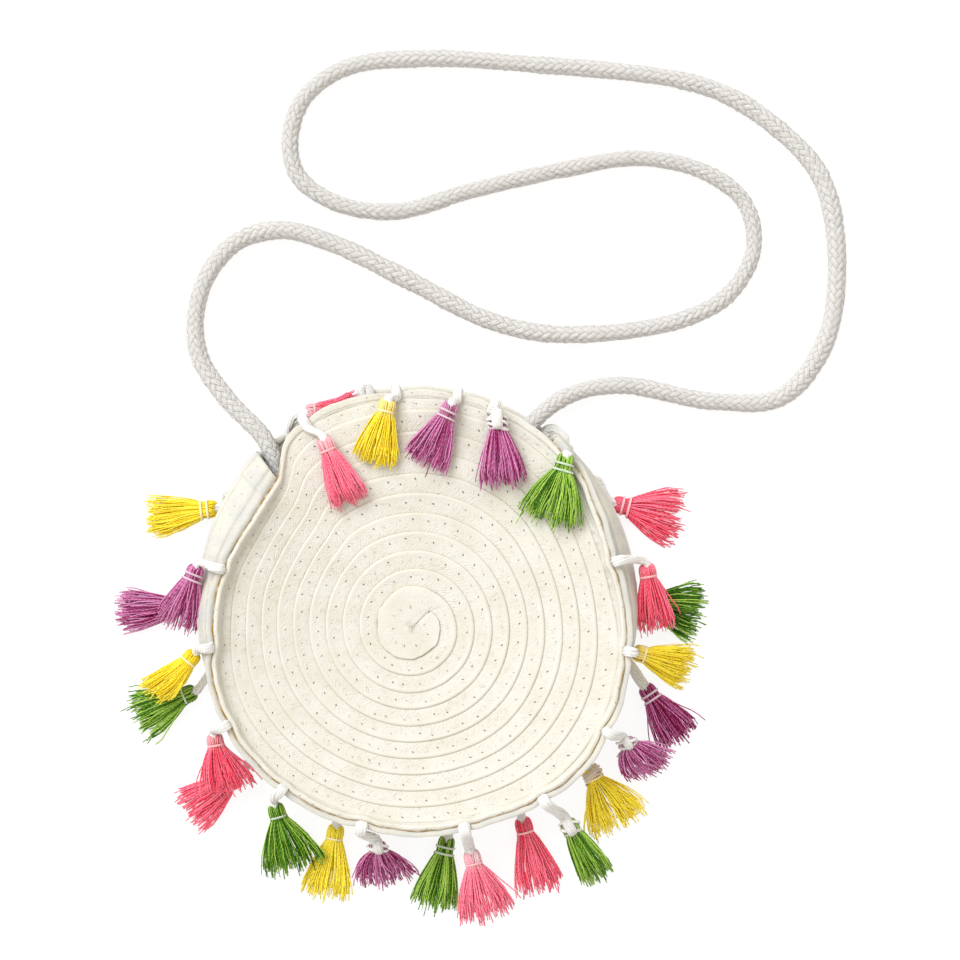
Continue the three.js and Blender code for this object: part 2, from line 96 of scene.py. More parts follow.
# Strap route, from inside the mouth's left corner to inside its right corner.
ROPE_LOW = 4.0  # height of the rope's middle on the floor
ROPE_IN = 7.0  # and inside the mouth
ROPE_ROUTE = np.array([
    (-58, 47, ROPE_IN), (-60, 58, ROPE_IN), (-65, 69, ROPE_IN), (-82, 87, 5), (-93, 104, ROPE_LOW),
    (-95, 120, ROPE_LOW), (-90, 139, ROPE_LOW), (-77, 154, ROPE_LOW), (-58, 159, ROPE_LOW),
    (-35, 153, ROPE_LOW), (-2, 137, ROPE_LOW), (32, 120, ROPE_LOW), (63, 114, ROPE_LOW),
    (114, 120, ROPE_LOW), (136, 132, ROPE_LOW), (146, 151, ROPE_LOW), (142, 171, ROPE_LOW),
    (125, 184, ROPE_LOW), (97, 190, ROPE_LOW), (63, 185, ROPE_LOW), (24, 176, ROPE_LOW),
    (-9, 167, ROPE_LOW), (-35, 171, ROPE_LOW), (-51, 183, ROPE_LOW), (-54, 199, ROPE_LOW),
    (-48, 216, ROPE_LOW), (-30, 229, ROPE_LOW), (2, 233, ROPE_LOW), (45, 231, ROPE_LOW),
    (125, 221, ROPE_LOW), (155, 204, ROPE_LOW), (175, 182, ROPE_LOW), (182, 148, ROPE_LOW),
    (177, 111, ROPE_LOW), (158, 87, ROPE_LOW), (129, 85, ROPE_LOW), (88, 92, ROPE_LOW), (65, 87, 5),
    (50, 75, ROPE_IN), (44, 64, ROPE_IN),
])

# How thick the soft rope is along its length: share of the length, and share of the diameter.
ROPE_THICKNESS = np.array([
    (0.0, 1.0), (0.06, 1.02), (0.18, 1.03), (0.26, 0.97), (0.33, 0.92), (0.37, 0.88), (0.42, 0.92),
    (0.47, 0.93), (0.58, 0.95), (0.66, 0.95), (0.74, 0.98), (0.79, 1.06), (0.88, 1.06), (0.92, 0.95),
    (1.0, 0.95),
])

# Tassels: rim and lies say where each is sewn and what it lies on, at is its loop's angle on the rim, head
# and tip are from FRONT_CENTRE, and ties counts the binding threads. Seven lie up to 3 mm from their solids.
TASSEL_COLUMNS = (
    "rim", "lies", "yarn", "at", "head_x", "head_y", "tip_x", "tip_y", "spread", "depth", "head_up", "tip_up",
    "ties",
)
TASSEL_ROWS = (
    ("front", "panel", "pink", 121, -41, 75, -30, 49, 18, 5, 0, 0, 1),
    ("front", "panel", "yellow", 96, -13, 91.5, -19, 66, 20, 5, 0, 0, 1),
    ("front", "panel", "purple", 80, 14, 90, 3, 65.5, 21, 5, 0, 0, 2),
    ("front", "panel", "purple", 70, 33, 85, 36, 57, 21, 5, 0, 0, 1),
    ("front", "panel", "green", 46, 63, 68, 55.5, 40.5, 29, 5, 0, 0, 2),
    ("front", "floor", "pink", 15, 97, 21, 102, -5, 17, 5, 17, 9, 1),
    ("front", "floor", "yellow", 350, 92, -16.5, 115.5, -24, 20, 5, 11, 0.3, 1),
    ("front", "floor", "purple", 328, 88, -54, 98, -70, 20, 12, 12, 0.3, 1),
    ("front", "floor", "green", 304, 63, -89, 77, -114, 16, 5, 10, 0.3, 1),
    ("front", "floor", "pink", 282, 22, -102, 29, -130, 27, 5, 10, 5.5, 1),
    ("front", "floor", "purple", 255, -18, -98, -16, -117, 24, 6, 12, 0.3, 1),
    ("front", "floor", "green", 232, -62, -82, -54, -109, 29, 5, 11, 6, 1),
    ("front", "floor", "pink", 210, -88, -52, -84, -75, 25, 5, 11, 9.5, 1),
    ("front", "floor", "yellow", 189, -96, -17, -111, -36, 18, 5, 11, 7, 1),
    ("front", "floor", "purple", 167, -94.5, 20.5, -104, -4, 21, 5, 20, 9.5, 2),
    ("back", "floor", "yellow", 151, -87.5, 45, -115.5, 41, 19, 5, 0.3, 0.3, 2),
    ("back", "floor", "purple", 176, -99, 3, -128, 0, 19, 5, 0.3, 0.3, 1),
    ("back", "floor", "green", 200, -97, -34, -121, -45, 23, 5, 0.3, 0.3, 1),
    ("back", "floor", "pink", 223, -78, -71, -99, -86, 22, 5, 0.3, 0.3, 1),
    ("back", "floor", "yellow", 248, -36, -92, -41, -121, 22, 5, 0.3, 0.3, 1),
    ("back", "floor", "green", 277, 12, -97, 6, -126, 22, 5, 0.3, 0.3, 2),
    ("back", "floor", "pink", 297, 44, -89, 52, -119, 21, 5, 0.3, 0.3, 1),
    ("back", "floor", "yellow", 318, 73, -67, 86, -91, 29, 5, 0.3, 0.3, 1),
    ("back", "floor", "purple", 344, 97, -32, 112, -54, 21, 5, 0.3, 0.3, 2),
    ("back", "floor", "green", 5, 95, 5, 120, 0, 27, 5, 0.3, 0.3, 1),
    ("back", "floor", "pink", 33, 83.5, 47, 110.5, 40, 28, 5, 0.3, 0.3, 2),
    ("back", "mouth", "pink", 125, -49, 86, -29, 88.5, 12, 4, 2.7, 2.7, 1),
)
TASSELS = [dict(zip(TASSEL_COLUMNS, row)) for row in TASSEL_ROWS]

# Looks of a tassel: tone lightens the yarn, and pale whitens the head. wraps counts the turns of cotton
# wound round the head, and brown makes them undyed. arc says how far the skirt's end is rounded, curl bends
# the skirt sideways by millimetres, stray is the share of loose strands, wide makes the skirt wider, a lower
# open lets it spread sooner, and wavy bends its strands. cord thickens the loop, and over lays it across the
# head.
PLAIN_STYLE = {"tone": 0.0, "pale": 0.0, "wraps": 0, "brown": False, "arc": 0.12, "curl": 0.0, "stray": 0.07,
               "wide": 1.0, "open": 1.0, "wavy": 1.0, "cord": 1.0, "over": False}
STYLES = {
    "tassel_front_01_pink": {"tone": 0.34, "pale": 0.6},
    "tassel_front_02_yellow": {"tone": 0.18, "pale": 0.4},
    "tassel_front_03_purple": {"tone": 0.15, "pale": 0.2},
    "tassel_front_04_purple": {"tone": 0.12, "wraps": 3, "over": True, "stray": 0.15, "cord": 1.25},
    "tassel_front_05_green": {"tone": 0.14},
    "tassel_front_06_pink": {"tone": 0.12, "pale": 0.2},
    "tassel_front_07_yellow": {"tone": 0.22, "pale": 0.35},
    "tassel_front_08_purple": {"tone": 0.15, "pale": 0.5, "wraps": 2, "over": True, "arc": 0.6, "stray": 0.25,
                               "curl": -4.0, "wide": 1.3, "open": 0.5, "wavy": 2.4},
    "tassel_front_09_green": {"tone": 0.05, "pale": 0.2, "wraps": 2, "over": True, "cord": 1.25},
    "tassel_front_10_pink": {"tone": 0.55, "pale": 0.8, "stray": 0.12, "cord": 1.2},
    "tassel_front_11_purple": {"tone": 0.1, "pale": 0.5, "wraps": 2, "over": True, "arc": 0.6, "stray": 0.3,
                               "curl": -1.5, "wide": 1.2, "open": 0.6, "wavy": 1.8, "cord": 1.2},
    "tassel_front_12_green": {"tone": -0.12, "stray": 0.12},
    "tassel_front_13_pink": {"tone": 0.12, "pale": 0.5, "curl": -2.0},
    "tassel_front_14_yellow": {"tone": 0.12, "curl": 4.0, "wide": 0.85},
    "tassel_front_15_purple": {"tone": 0.25},
    "tassel_back_01_yellow": {"tone": 0.2},
    "tassel_back_02_purple": {"tone": 0.15},
    "tassel_back_04_pink": {"tone": 0.2},
    # Its tone of 0.5 is partly painted light, which lifts this yarn against the bag's shade that falls on it.
    "tassel_back_05_yellow": {"tone": 0.5},
    "tassel_back_07_pink": {"tone": 0.2},
    "tassel_back_08_yellow": {"tone": 0.3, "wraps": 4, "brown": True},
    "tassel_back_09_purple": {"tone": -0.3, "cord": 1.25},
    "tassel_back_10_green": {"tone": -0.2},
    "tassel_back_11_pink": {"tone": 0.15, "cord": 1.4},
    "tassel_back_12_pink": {"tone": 0.35, "pale": 0.7, "curl": -3.0, "wide": 0.6},
}

LOOP = {"reach": 2.4, "tuck": 3.5}  # how far a loop of the back rim runs out past the edge, and into the seam
# Loops that show without a tassel: angle, half the angle between their ends, and reach.
LONE_LOOPS = {"loop_back_right": (49.0, 3.2, 3.0), "loop_back_top": (103.5, 1.1, 2.2)}

# Light and view: the sun comes from the top left, as seen from above.
SKY = {"colour": "#fffbf3", "strength": 0.9}
SUN = {"colour": "#f4f9ff", "energy": 2.7, "soft": 40, "tilt": (-34, -35)}  # angles in degrees
FLOOR = {"half": 4.0, "under": 0.0003, "glow": 0.84}  # metres, and light that keeps the paper white
VIEW_MIDDLE = (0.028, 0.0511)  # place on the floor under the camera, in metres


def colour(code):
    """An sRGB hex colour as linear red, green, blue and alpha."""
    parts = [int(code[i:i + 2], 16) / 255 for i in (1, 3, 5)]
    linear = [part / 12.92 if part <= 0.04045 else ((part + 0.055) / 1.055) ** 2.4 for part in parts]
    return (*linear, 1.0)


# Sizes and colours that a user would change


def tint(name, description, code):
    """A colour property."""
    return FloatVectorProperty(name=name, description=description, subtype="COLOR", size=4, min=0, max=1,
                               default=colour(code))


class StrawSettings(bpy.types.PropertyGroup):
    """The sewn paper braid."""
    cream: tint("Cream", "Colour of the paper braid of the panels", "#d8d5cc")
    shade: tint("Shade", "Darker tone that clouds the braid", "#d2cdc0")
    white: tint("Gusset white", "Colour of the gusset's braid, which is less yellow", "#c3c2bd")
    edge: tint("Edge", "Colour of the braid's lapped edges", "#c9bc8c")
    thread: tint("Seam", "Colour inside the rim seams", "#96742e")
    # Painted shade: the dark colour in the needle holes stands for the shade inside them.
    stitch: tint("Stitch hole", "Colour of the needle holes", "#4f4a40")
    stitch_length: FloatProperty(name="Stitch length", description="Distance between needle holes",
                                 default=6.3 * MM, unit="LENGTH", precision=4)
    tick: FloatProperty(name="Braid tick", description="Length of one strand's tick in the braid",
                        default=1.7 * MM, unit="LENGTH", precision=4)


class RopeSettings(bpy.types.PropertyGroup):
    """The plaited cotton strap."""
    diameter: FloatProperty(name="Diameter", description="Thickness of the rope", default=7.6 * MM,
                            unit="LENGTH", precision=4)
    strands: IntProperty(name="Strands", description="Strands that wind each way round the rope", default=8)
    cotton: tint("Cotton", "Colour of the rope's strands", "#dfdcd9")
    # Painted shade: this colour darkens the grooves between strands and the gaps between yarns.
    groove_and_shade: tint("Groove", "Colour between the strands", "#938c83")


class TasselSettings(bpy.types.PropertyGroup):
    """The yarn tassels and their cotton loops."""
    strands: IntProperty(name="Strands", description="Strands in a tassel", default=175)
    strand_radius: FloatProperty(name="Strand radius", description="Half the thickness of a strand",
                                 default=0.3 * MM, unit="LENGTH", precision=5)
    pink: tint("Pink", "Colour of the pink yarn", "#fd3f5c")
    yellow: tint("Yellow", "Colour of the yellow yarn", "#fdd609")
    purple: tint("Purple", "Colour of the purple yarn", "#a83272")
    green: tint("Green", "Colour of the green yarn", "#5d940c")
    loop: tint("Loop", "Colour of the cotton loops", "#e7e5e2")
    undyed: tint("Undyed", "Colour of the one brownish binding", "#d6c4b2")


class StageSettings(bpy.types.PropertyGroup):
    """The floor, the light and the camera."""
    floor: tint("Floor", "Colour of the floor", "#7c7c7c")
    height: FloatProperty(name="Camera height", description="Height of the camera over the floor",
                          default=1.4, unit="LENGTH")
    width: FloatProperty(name="View width", description="Width of floor that the camera sees",
                         default=0.4156, unit="LENGTH")


SETTINGS = {"straw_bag_straw": StrawSettings, "straw_bag_rope": RopeSettings,
            "straw_bag_tassels": TasselSettings, "straw_bag_stage": StageSettings}


def straw():
    """The sizes and colours of the straw."""
    return bpy.context.scene.straw_bag_straw


# Curves and surfaces of the bag


def direction(angle):
    """Unit vectors at these angles, in degrees, as rows of x and y."""
    turn = np.radians(angle)
    return np.stack([np.cos(turn), np.sin(turn)], axis=-1)


def blend(low, high, share):
    """Part of the way from low to high."""
    return low + (high - low) * share


def smooth(low, high, value):
    """A soft step from 0 at low to 1 at high."""
    share = np.clip((value - low) / (high - low), 0, 1)
    return share * share * (3 - 2 * share)


def around_rim(column):
    """A smooth curve through one column of FRONT_RIM, all the way round."""
    table = np.concatenate([FRONT_RIM[-2:] - (360, 0, 0), FRONT_RIM, FRONT_RIM[:2] + (360, 0, 0)])
    at, value = table[:, 0], table[:, column]
    slope = np.gradient(value, at)
    slope[1:-1] = (value[2:] - value[:-2]) / (at[2:] - at[:-2])

    def curve(angle):
        angle = np.mod(angle - FRONT_RIM[0, 0], 360) + FRONT_RIM[0, 0]
        k = np.searchsorted(at, angle, side="right") - 1
        span = at[k + 1] - at[k]
        t = (angle - at[k]) / span
        low, high = slope[k] * span, slope[k + 1] * span
        bend = 2 * (value[k] - value[k + 1]) + low + high
        bow = 3 * (value[k + 1] - value[k]) - 2 * low - high
        return value[k] + t * (low + t * (bow + t * bend))

    return curve


rim_radius = around_rim(1)
rim_top = around_rim(2)


def lip_height(angle):
    """Height of the turned-up lip."""
    return blend(LIP_LOW, LIP_HIGH, np.clip((rim_top(angle) - MOUTH_TOP) / LIP_RISE, 0, 1))


def front_height(x, y):
    """Height of the front panel without its rows."""
    across, up = x - FRONT_CENTRE[0], y - FRONT_CENTRE[1]
    angle = np.degrees(np.arctan2(up, across))
    share = np.clip((np.hypot(across, up) / rim_radius(angle) - DISH_START) / (DISH_END - DISH_START), 0, 1)
    foot = rim_top(angle) - lip_height(angle)
    fold = np.exp(-((y - CREASE["y"]) / CREASE["width"]) ** 2 - ((x - CREASE["x"]) / CREASE["reach"]) ** 4)
    return blend(DISH_HEIGHT, foot, share ** DISH_POWER) + CREASE["height"] * fold


def front_spot(angle, flat):
    """Where a point of the flat front panel lies, seen from above."""
    share = ((flat / FRONT_RADIUS) ** 2)[..., None]
    radius = flat[..., None] * blend(1, rim_radius(angle)[..., None] / FRONT_RADIUS, share)
    return direction(angle) * radius + FRONT_CENTRE + COIL_SHIFT * (1 - share)


def front_rest(x, y):
    """Height on which a tassel rests that lies on the front."""
    across, up = x - FRONT_CENTRE[0], y - FRONT_CENTRE[1]
    angle = np.degrees(np.arctan2(up, across))
    start = rim_radius(angle) - FLANGE
    lip = rim_top(angle) * smooth(start - 3, start + 1, np.hypot(across, up))
    return np.maximum(front_height(x, y) + ROW_STEP, lip) + PANEL_CLEARANCE


def wobble(value, seed):
    """A gentle, repeatable unevenness between about -1 and 1."""
    waves = (1.0, 2.3, 3.1, 4.7, 7.9)
    phases = np.random.default_rng(SEED + seed).uniform(0, 2 * np.pi, len(waves))
    parts = (np.sin(value * wave + phase) / (k + 1) for k, (wave, phase) in enumerate(zip(waves, phases)))
    return sum(parts) / 1.8


PATH_STEPS = 24  # points worked out between two given ones


def smooth_path(points, steps):
    """Points at even distances along a smooth curve through the given points, and its length."""
    points = np.asarray(points, float)
    padded = np.concatenate([[2 * points[0] - points[1]], points, [2 * points[-1] - points[-2]]])
    last = len(points) - 2

    def mix(p, q, t, low, high):
        return p * (high - t) / (high - low) + q * (t - low) / (high - low)

    fine = []
    for k in range(last + 1):
        spans = list(zip(padded[k:k + 3], padded[k + 1:k + 4]))
        knots = np.cumsum([0] + [max(np.linalg.norm(q - p), 1e-6) ** 0.5 for p, q in spans])
        t = np.linspace(knots[1], knots[2], PATH_STEPS, endpoint=k == last)[:, None]
        ab, bc, cd = (mix(p, q, t, *knots[i:i + 2]) for i, (p, q) in enumerate(spans))
        low, high = mix(ab, bc, t, knots[0], knots[2]), mix(bc, cd, t, knots[1], knots[3])
        fine.append(mix(low, high, t, knots[1], knots[2]))
    fine = np.concatenate(fine)
    length = np.concatenate([[0], np.cumsum(np.linalg.norm(np.diff(fine, axis=0), axis=1))])
    even = np.linspace(0, length[-1], steps)
    return np.stack([np.interp(even, length, fine[:, axis]) for axis in range(3)], axis=1), length[-1]


# Meshes


def lattice(name, u_values, v_values, wrap_along=False, wrap_across=False):
    """A grid of faces with u and v as its UV map.

    A wrapped way is rolled up and welded, and a tube's ends are capped. The columns and rows stay on its
    points, for placing them.
    """
    columns, rows = len(u_values) - 1, len(v_values) - 1
    shape = bmesh.new()
    bmesh.ops.create_grid(shape, x_segments=columns, y_segments=rows, size=1)
    mesh = bpy.data.meshes.new(name)
    shape.to_mesh(mesh)
    spots = np.empty(len(mesh.vertices) * 3)
    mesh.vertices.foreach_get("co", spots)
    shares = (spots.reshape(-1, 3) + 1) / 2
    column, row = np.rint(shares[:, 0] * columns), np.rint(shares[:, 1] * rows)
    for label, values in (("column", column), ("row", row)):
        mesh.attributes.new(label, "FLOAT", "POINT").data.foreach_set("value", values)
    corners = np.empty(len(mesh.loops), int)
    mesh.loops.foreach_get("vertex_index", corners)
    spans = np.stack([np.asarray(u_values)[column[corners].astype(int)],
                      np.asarray(v_values)[row[corners].astype(int)]], axis=1)
    mesh.uv_layers.new(name="span").data.foreach_set("uv", spans.ravel())
    if wrap_across or wrap_along:
        turn = 2 * np.pi * column / columns if wrap_along else np.zeros(len(column))
        roll = 2 * np.pi * row / rows
        reach = 2 + np.cos(roll)
        rolled = np.stack([reach * np.cos(turn), reach * np.sin(turn), np.sin(roll)], axis=1)
        if not wrap_along:
            rolled[:, 1] += column
        mesh.vertices.foreach_set("co", rolled.ravel())
        shape.clear()
        shape.from_mesh(mesh)
        bmesh.ops.remove_doubles(shape, verts=shape.verts, dist=1e-4)
        bmesh.ops.holes_fill(shape, edges=[edge for edge in shape.edges if edge.is_boundary], sides=0)
        shape.to_mesh(mesh)
    shape.free()
    return mesh


def indices(mesh):
    """The columns and rows of a lattice's points."""
    found = []
    for label in ("column", "row"):
        values = np.empty(len(mesh.vertices), np.float32)
        mesh.attributes[label].data.foreach_get("value", values)
        found.append(np.rint(values).astype(int))
    return found


def put(mesh, spots):
    """Moves a mesh's points to these spots, in millimetres, and turns its faces outwards."""
    mesh.vertices.foreach_set("co", (np.asarray(spots) * MM).astype(np.float32).ravel())
    shape = bmesh.new()
    shape.from_mesh(mesh)
    bmesh.ops.recalc_face_normals(shape, faces=shape.faces)
    shape.to_mesh(mesh)
    shape.free()
    mesh.shade_smooth()
    return mesh


def mark(mesh, label, values):
    """Keeps one number for each point, for the materials."""
    mesh.attributes.new(label, "FLOAT", "POINT").data.foreach_set("value", np.asarray(values, np.float32))


def tubes(name, paths, radii, sides):
    """Tubes along paths of shape (tube, step, 3). radii has the shape (tube, step) or (tube, step, side)."""
    count, steps = paths.shape[:2]
    length = np.linalg.norm(np.diff(paths[0], axis=0), axis=1).sum()
    template = lattice(name, np.linspace(0, length, steps), np.linspace(0, 1, sides + 1), wrap_across=True)
    if count > 1:
        holder = bpy.data.objects.new(name, template)
        bpy.context.scene.collection.objects.link(holder)
        copies = holder.modifiers.new("copies", "ARRAY")
        copies.count = count
        copies.use_relative_offset = False
        copies.use_constant_offset = True
        copies.constant_offset_displace = (0, 0, 0)
        copied = bpy.data.meshes.new_from_object(holder.evaluated_get(bpy.context.evaluated_depsgraph_get()))
        bpy.data.objects.remove(holder)
        bpy.data.meshes.remove(template)
        template = copied
    step, side = indices(template)
    tube = np.repeat(np.arange(count), len(step) // count)
    side = side % sides
    ahead = np.gradient(paths, axis=1)
    ahead /= np.linalg.norm(ahead, axis=2, keepdims=True) + 1e-9
    out = np.cross(ahead, (0, 0, 1.0))
    out += (np.linalg.norm(out, axis=2, keepdims=True) < 1e-3) * np.array([1.0, 0, 0])
    out /= np.linalg.norm(out, axis=2, keepdims=True)
    up = np.cross(out, ahead)
    turn = (2 * np.pi * side / sides)[:, None]
    radius = radii[tube, step] if radii.ndim == 2 else radii[tube, step, side]
    ring = np.cos(turn) * out[tube, step] + np.sin(turn) * up[tube, step]
    mark(template, "along", step / (steps - 1))
    return put(template, paths[tube, step] + radius[:, None] * ring)


def joined(name, parts):
    """One mesh from several, each with the number of its material."""
    shape = bmesh.new()
    for part, number in parts:
        part.polygons.foreach_set("material_index", np.full(len(part.polygons), number, np.int32))
        shape.from_mesh(part)
        bpy.data.meshes.remove(part)
    mesh = bpy.data.meshes.new(name)
    shape.to_mesh(mesh)
    shape.free()
    mesh.shade_smooth()
    return mesh


def piece(name, mesh, materials, nodes):
    """Shows a mesh as a piece that rides on the bag and stands for these nodes."""
    shown = bpy.data.objects.new(name, mesh)
    bpy.context.scene.collection.objects.link(shown)
    for material in materials:
        mesh.materials.append(material)
    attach(shown, "root")
    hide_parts(*nodes)
    return shown


# Materials


def add(tree, kind, inputs=(), out=0, **settings):
    """Adds a node with its settings, and gives its output.

    inputs holds values, or outputs that feed the sockets, in order or by socket.
    """
    node = tree.nodes.new("ShaderNode" + kind)
    for key, value in settings.items():
        setattr(node, key, value)
    for socket, value in inputs.items() if isinstance(inputs, dict) else enumerate(inputs):
        if isinstance(value, bpy.types.NodeSocket):
            tree.links.new(value, node.inputs[socket])
        else:
            node.inputs[socket].default_value = value
    return node.outputs[out] if node.outputs else node


def new_material(name):
    """An empty material, and the function that adds its nodes."""
    material = bpy.data.materials.new(name)
    material.use_nodes = True
    material.node_tree.nodes.clear()
    return material, partial(add, material.node_tree)


def paper_braid(name, body, shade):
    """Twisted paper straw plaited flat.

    It is matt, with ticks in a herringbone, needle holes darkened with painted shade, and darker lapped
    edges.
    """
    sizes = straw()
    pitch = row_pitch(FRONT_RADIUS)
    tick, stitch = sizes.tick / MM, sizes.stitch_length / MM
    material, node = new_material(name)
    span = node("SeparateXYZ", [node("UVMap", uv_map="span")]).node.outputs
    along, across = span[0], span[1]
    sewn_here = node("Attribute", out="Fac", attribute_name="sewn")
    seam = node("Attribute", out="Fac", attribute_name="seam")
    place = node("TexCoord", out="Object")
    # Clouds in the dye 11 mm wide, drift of the plait 3.5 mm, patches of ticks 2 mm and paper grain 1.2 mm.
    cloud = node("TexNoise", {"Vector": place, "Scale": 1 / 0.011, "Detail": 4.0})
    drift = node("TexNoise", {"Vector": place, "Scale": 1 / 0.0035, "Detail": 2.0})
    patchy = node("TexNoise", {"Vector": place, "Scale": 1 / 0.002, "Detail": 1.0})
    grain = node("TexNoise", {"Vector": place, "Scale": 1 / 0.0012, "Detail": 3.0})

    # Ticks slant both ways from the middle of the row.
    from_middle = node("Math", [across, pitch / 2], operation="SUBTRACT")
    folded = node("Math", [node("Math", [from_middle], operation="ABSOLUTE"), along], operation="ADD")
    slant = node("Math", [drift, 5.5, folded], operation="MULTIPLY_ADD")
    wave = node("Math", [node("Math", [slant, 2 * math.pi / tick], operation="MULTIPLY")], operation="SINE")
    uneven = node("MapRange", [patchy, 0.42, 0.7, 0.04, 0.72])
    flat_part = node("MapRange", [across, pitch * (BRAID_EDGE - 0.04), pitch * (BRAID_EDGE + 0.04), 1.0, 0.0])
    woven = node("Math", [sewn_here, flat_part], operation="MULTIPLY")
    ticks = node("Math", [node("Math", [wave, uneven], operation="MULTIPLY"), woven], operation="MULTIPLY")

    # Needle holes run along the row, one to a stitch, as short slanted pricks. Some are faint.
    stitch_count = node("Math", [along, stitch], operation="DIVIDE")
    number = node("Math", [stitch_count], operation="FLOOR")
    chance = node("TexWhiteNoise", {"W": number}, out="Color", noise_dimensions="1D")
    chance = node("SeparateXYZ", [chance]).node.outputs
    middle = [node("MapRange", [chance[0], 0.0, 1.0, stitch * 0.3, stitch * 0.7]),
              node("MapRange", [chance[1], 0.0, 1.0, pitch * 0.45, pitch * 0.72])]
    ahead = node("Math", [node("Math", [stitch_count], operation="FRACT"), stitch], operation="MULTIPLY")
    spot = node("CombineXYZ", [node("Math", [way, centre], operation="SUBTRACT")
                               for way, centre in zip((ahead, across), middle)])
    turned = node("VectorRotate", {"Vector": spot, "Angle": 0.7}, rotation_type="Z_AXIS")
    # A prick is 1.1 mm long and 0.6 mm wide.
    prick = node("VectorMath", [turned, (1 / 0.55, 1 / 0.3, 0.0)], operation="MULTIPLY")
    far = node("VectorMath", [prick], out="Value", operation="LENGTH")
    dot = node("MapRange", [far, 0.45, 1.1, 1.0, 0.0])
    faint = node("MapRange", [chance[2], 0.1, 0.7, 0.3, 1.0])
    hole = node("Math", [node("Math", [dot, faint], operation="MULTIPLY"), sewn_here], operation="MULTIPLY")

    tone = node("MapRange", [cloud, 0.35, 0.7])
    base = node("Mix", {0: tone, 6: body, 7: shade}, out=2, data_type="RGBA")
    lap = node("MapRange", [across, pitch * 0.99, pitch * 1.02, 0.0, 0.55])
    lapped = node("Mix", {0: lap, 6: base, 7: sizes.edge}, out=2, data_type="RGBA")
    broken = node("MapRange", [drift, 0.3, 0.6, 0.4, 1.0])
    seam_line = node("Math", [seam, broken], operation="MULTIPLY")
    sewn = node("Mix", {0: seam_line, 6: lapped, 7: sizes.thread}, out=2, data_type="RGBA")
    # Painted shade: the needle holes are darkened towards the stitch colour.
    dark = node("Math", [hole, 0.9], operation="MULTIPLY")
    with_hole_shade = node("Mix", {0: dark, 6: sewn, 7: sizes.stitch}, out=2, data_type="RGBA")
    rough = node("Math", [grain, 1.5], operation="MULTIPLY")
    sunk = node("Math", [hole, -2.0, rough], operation="MULTIPLY_ADD")
    relief = node("Math", [ticks, sunk], operation="ADD")
    bump = node("Bump", {"Height": relief, "Strength": 0.7, "Distance": 0.22 * MM})
    shader = node("BsdfPrincipled", {"Base Color": with_hole_shade, "Normal": bump, "Roughness": 0.75, "IOR": 1.45,
                                     "Specular IOR Level": 0.25})
    node("OutputMaterial", [shader])
    return material


def plaited_cotton(name, lead):
    """Flat groups of cotton yarns plaited round a core.

    It is matt, with fine yarn lines, and painted shade darkens its grooves and the gaps between its yarns.
    lead is the length of one diamond of the plait.
    """
    rope = bpy.context.scene.straw_bag_rope
    material, node = new_material(name)
    span = node("SeparateXYZ", [node("UVMap", uv_map="span")]).node.outputs
    twist = node("Attribute", out="Fac", attribute_name="twist")
    around = node("Math", [span[1], float(rope.strands), twist], operation="MULTIPLY_ADD")
    ahead = node("Math", [span[0], lead], operation="DIVIDE")
    first = node("Math", [around, ahead], operation="ADD")
    second = node("Math", [around, ahead], operation="SUBTRACT")
    whole = [node("Math", [way], operation="FLOOR") for way in (first, second)]
    part = [node("Math", [way], operation="FRACT") for way in (first, second)]
    cells = node("Math", [node("Math", whole, operation="ADD"), 4.0], operation="FLOORED_MODULO")
    under = node("Math", [cells, 1.5], operation="GREATER_THAN")
    across = node("Mix", {0: under, 2: part[0], 3: part[1]})
    other = node("Mix", {0: under, 2: part[1], 3: part[0]})
    stage = node("Math", [cells, 2.0], operation="FLOORED_MODULO")
    run = node("Math", [node("Math", [stage, other], operation="ADD"), 2.0], operation="DIVIDE")
    # Each strand of the plait holds four yarns, each 0.75 mm wide.
    yarns = node("Math", [node("Math", [across, 8 * math.pi], operation="MULTIPLY")], operation="SINE")
    off_middle = [node("Math", [node("Math", [way, 0.5], operation="SUBTRACT")], operation="ABSOLUTE")
                  for way in (across, run)]
    edge = node("Math", off_middle, operation="MAXIMUM")
    groove_and_shade = node("MapRange", [edge, 0.42, 0.5])

    # Tufts of fibre are 0.7 mm wide, and clouds 9 mm wide vary the painted shade in the grooves.
    place = node("TexCoord", out="Object")
    fibre = node("TexNoise", {"Vector": place, "Scale": 1 / 0.0007, "Detail": 4.0})
    cloud = node("TexNoise", {"Vector": place, "Scale": 1 / 0.009, "Detail": 2.0})
    shade_breakup = node("MapRange", [fibre, 0.35, 0.65, 0.2, 1.3])
    # Painted shade: the grooves between strands and the gaps between yarns are darkened towards the groove
    # colour, in clouds and broken up by the fibre.
    shaded = node("Math", [groove_and_shade, node("Math", [cloud, 0.3], operation="ADD")], operation="MULTIPLY")
    between = node("MapRange", [yarns, -1.0, 0.2, 0.3, 0.0])
    painted_hollow_shade = node("Math", [shaded, between], operation="MAXIMUM")
    rope_painted_shade = node("Math", [painted_hollow_shade, shade_breakup], operation="MULTIPLY")
    base = node("Mix", {0: rope_painted_shade, 6: rope.cotton, 7: rope.groove_and_shade}, out=2, data_type="RGBA")
    fuzz = node("Math", [fibre, 1.6], operation="MULTIPLY")
    lines = node("Math", [yarns, 0.4, fuzz], operation="MULTIPLY_ADD")
    relief = node("Math", [groove_and_shade, -0.6, lines], operation="MULTIPLY_ADD")
    bump = node("Bump", {"Height": relief, "Strength": 0.85, "Distance": 0.3 * MM})
    shader = node("BsdfPrincipled", {"Base Color": base, "Normal": bump, "Roughness": 0.9,
                                     "Specular IOR Level": 0.2, "Sheen Weight": 0.35, "Sheen Roughness": 0.5})
    node("OutputMaterial", [shader])
    return material


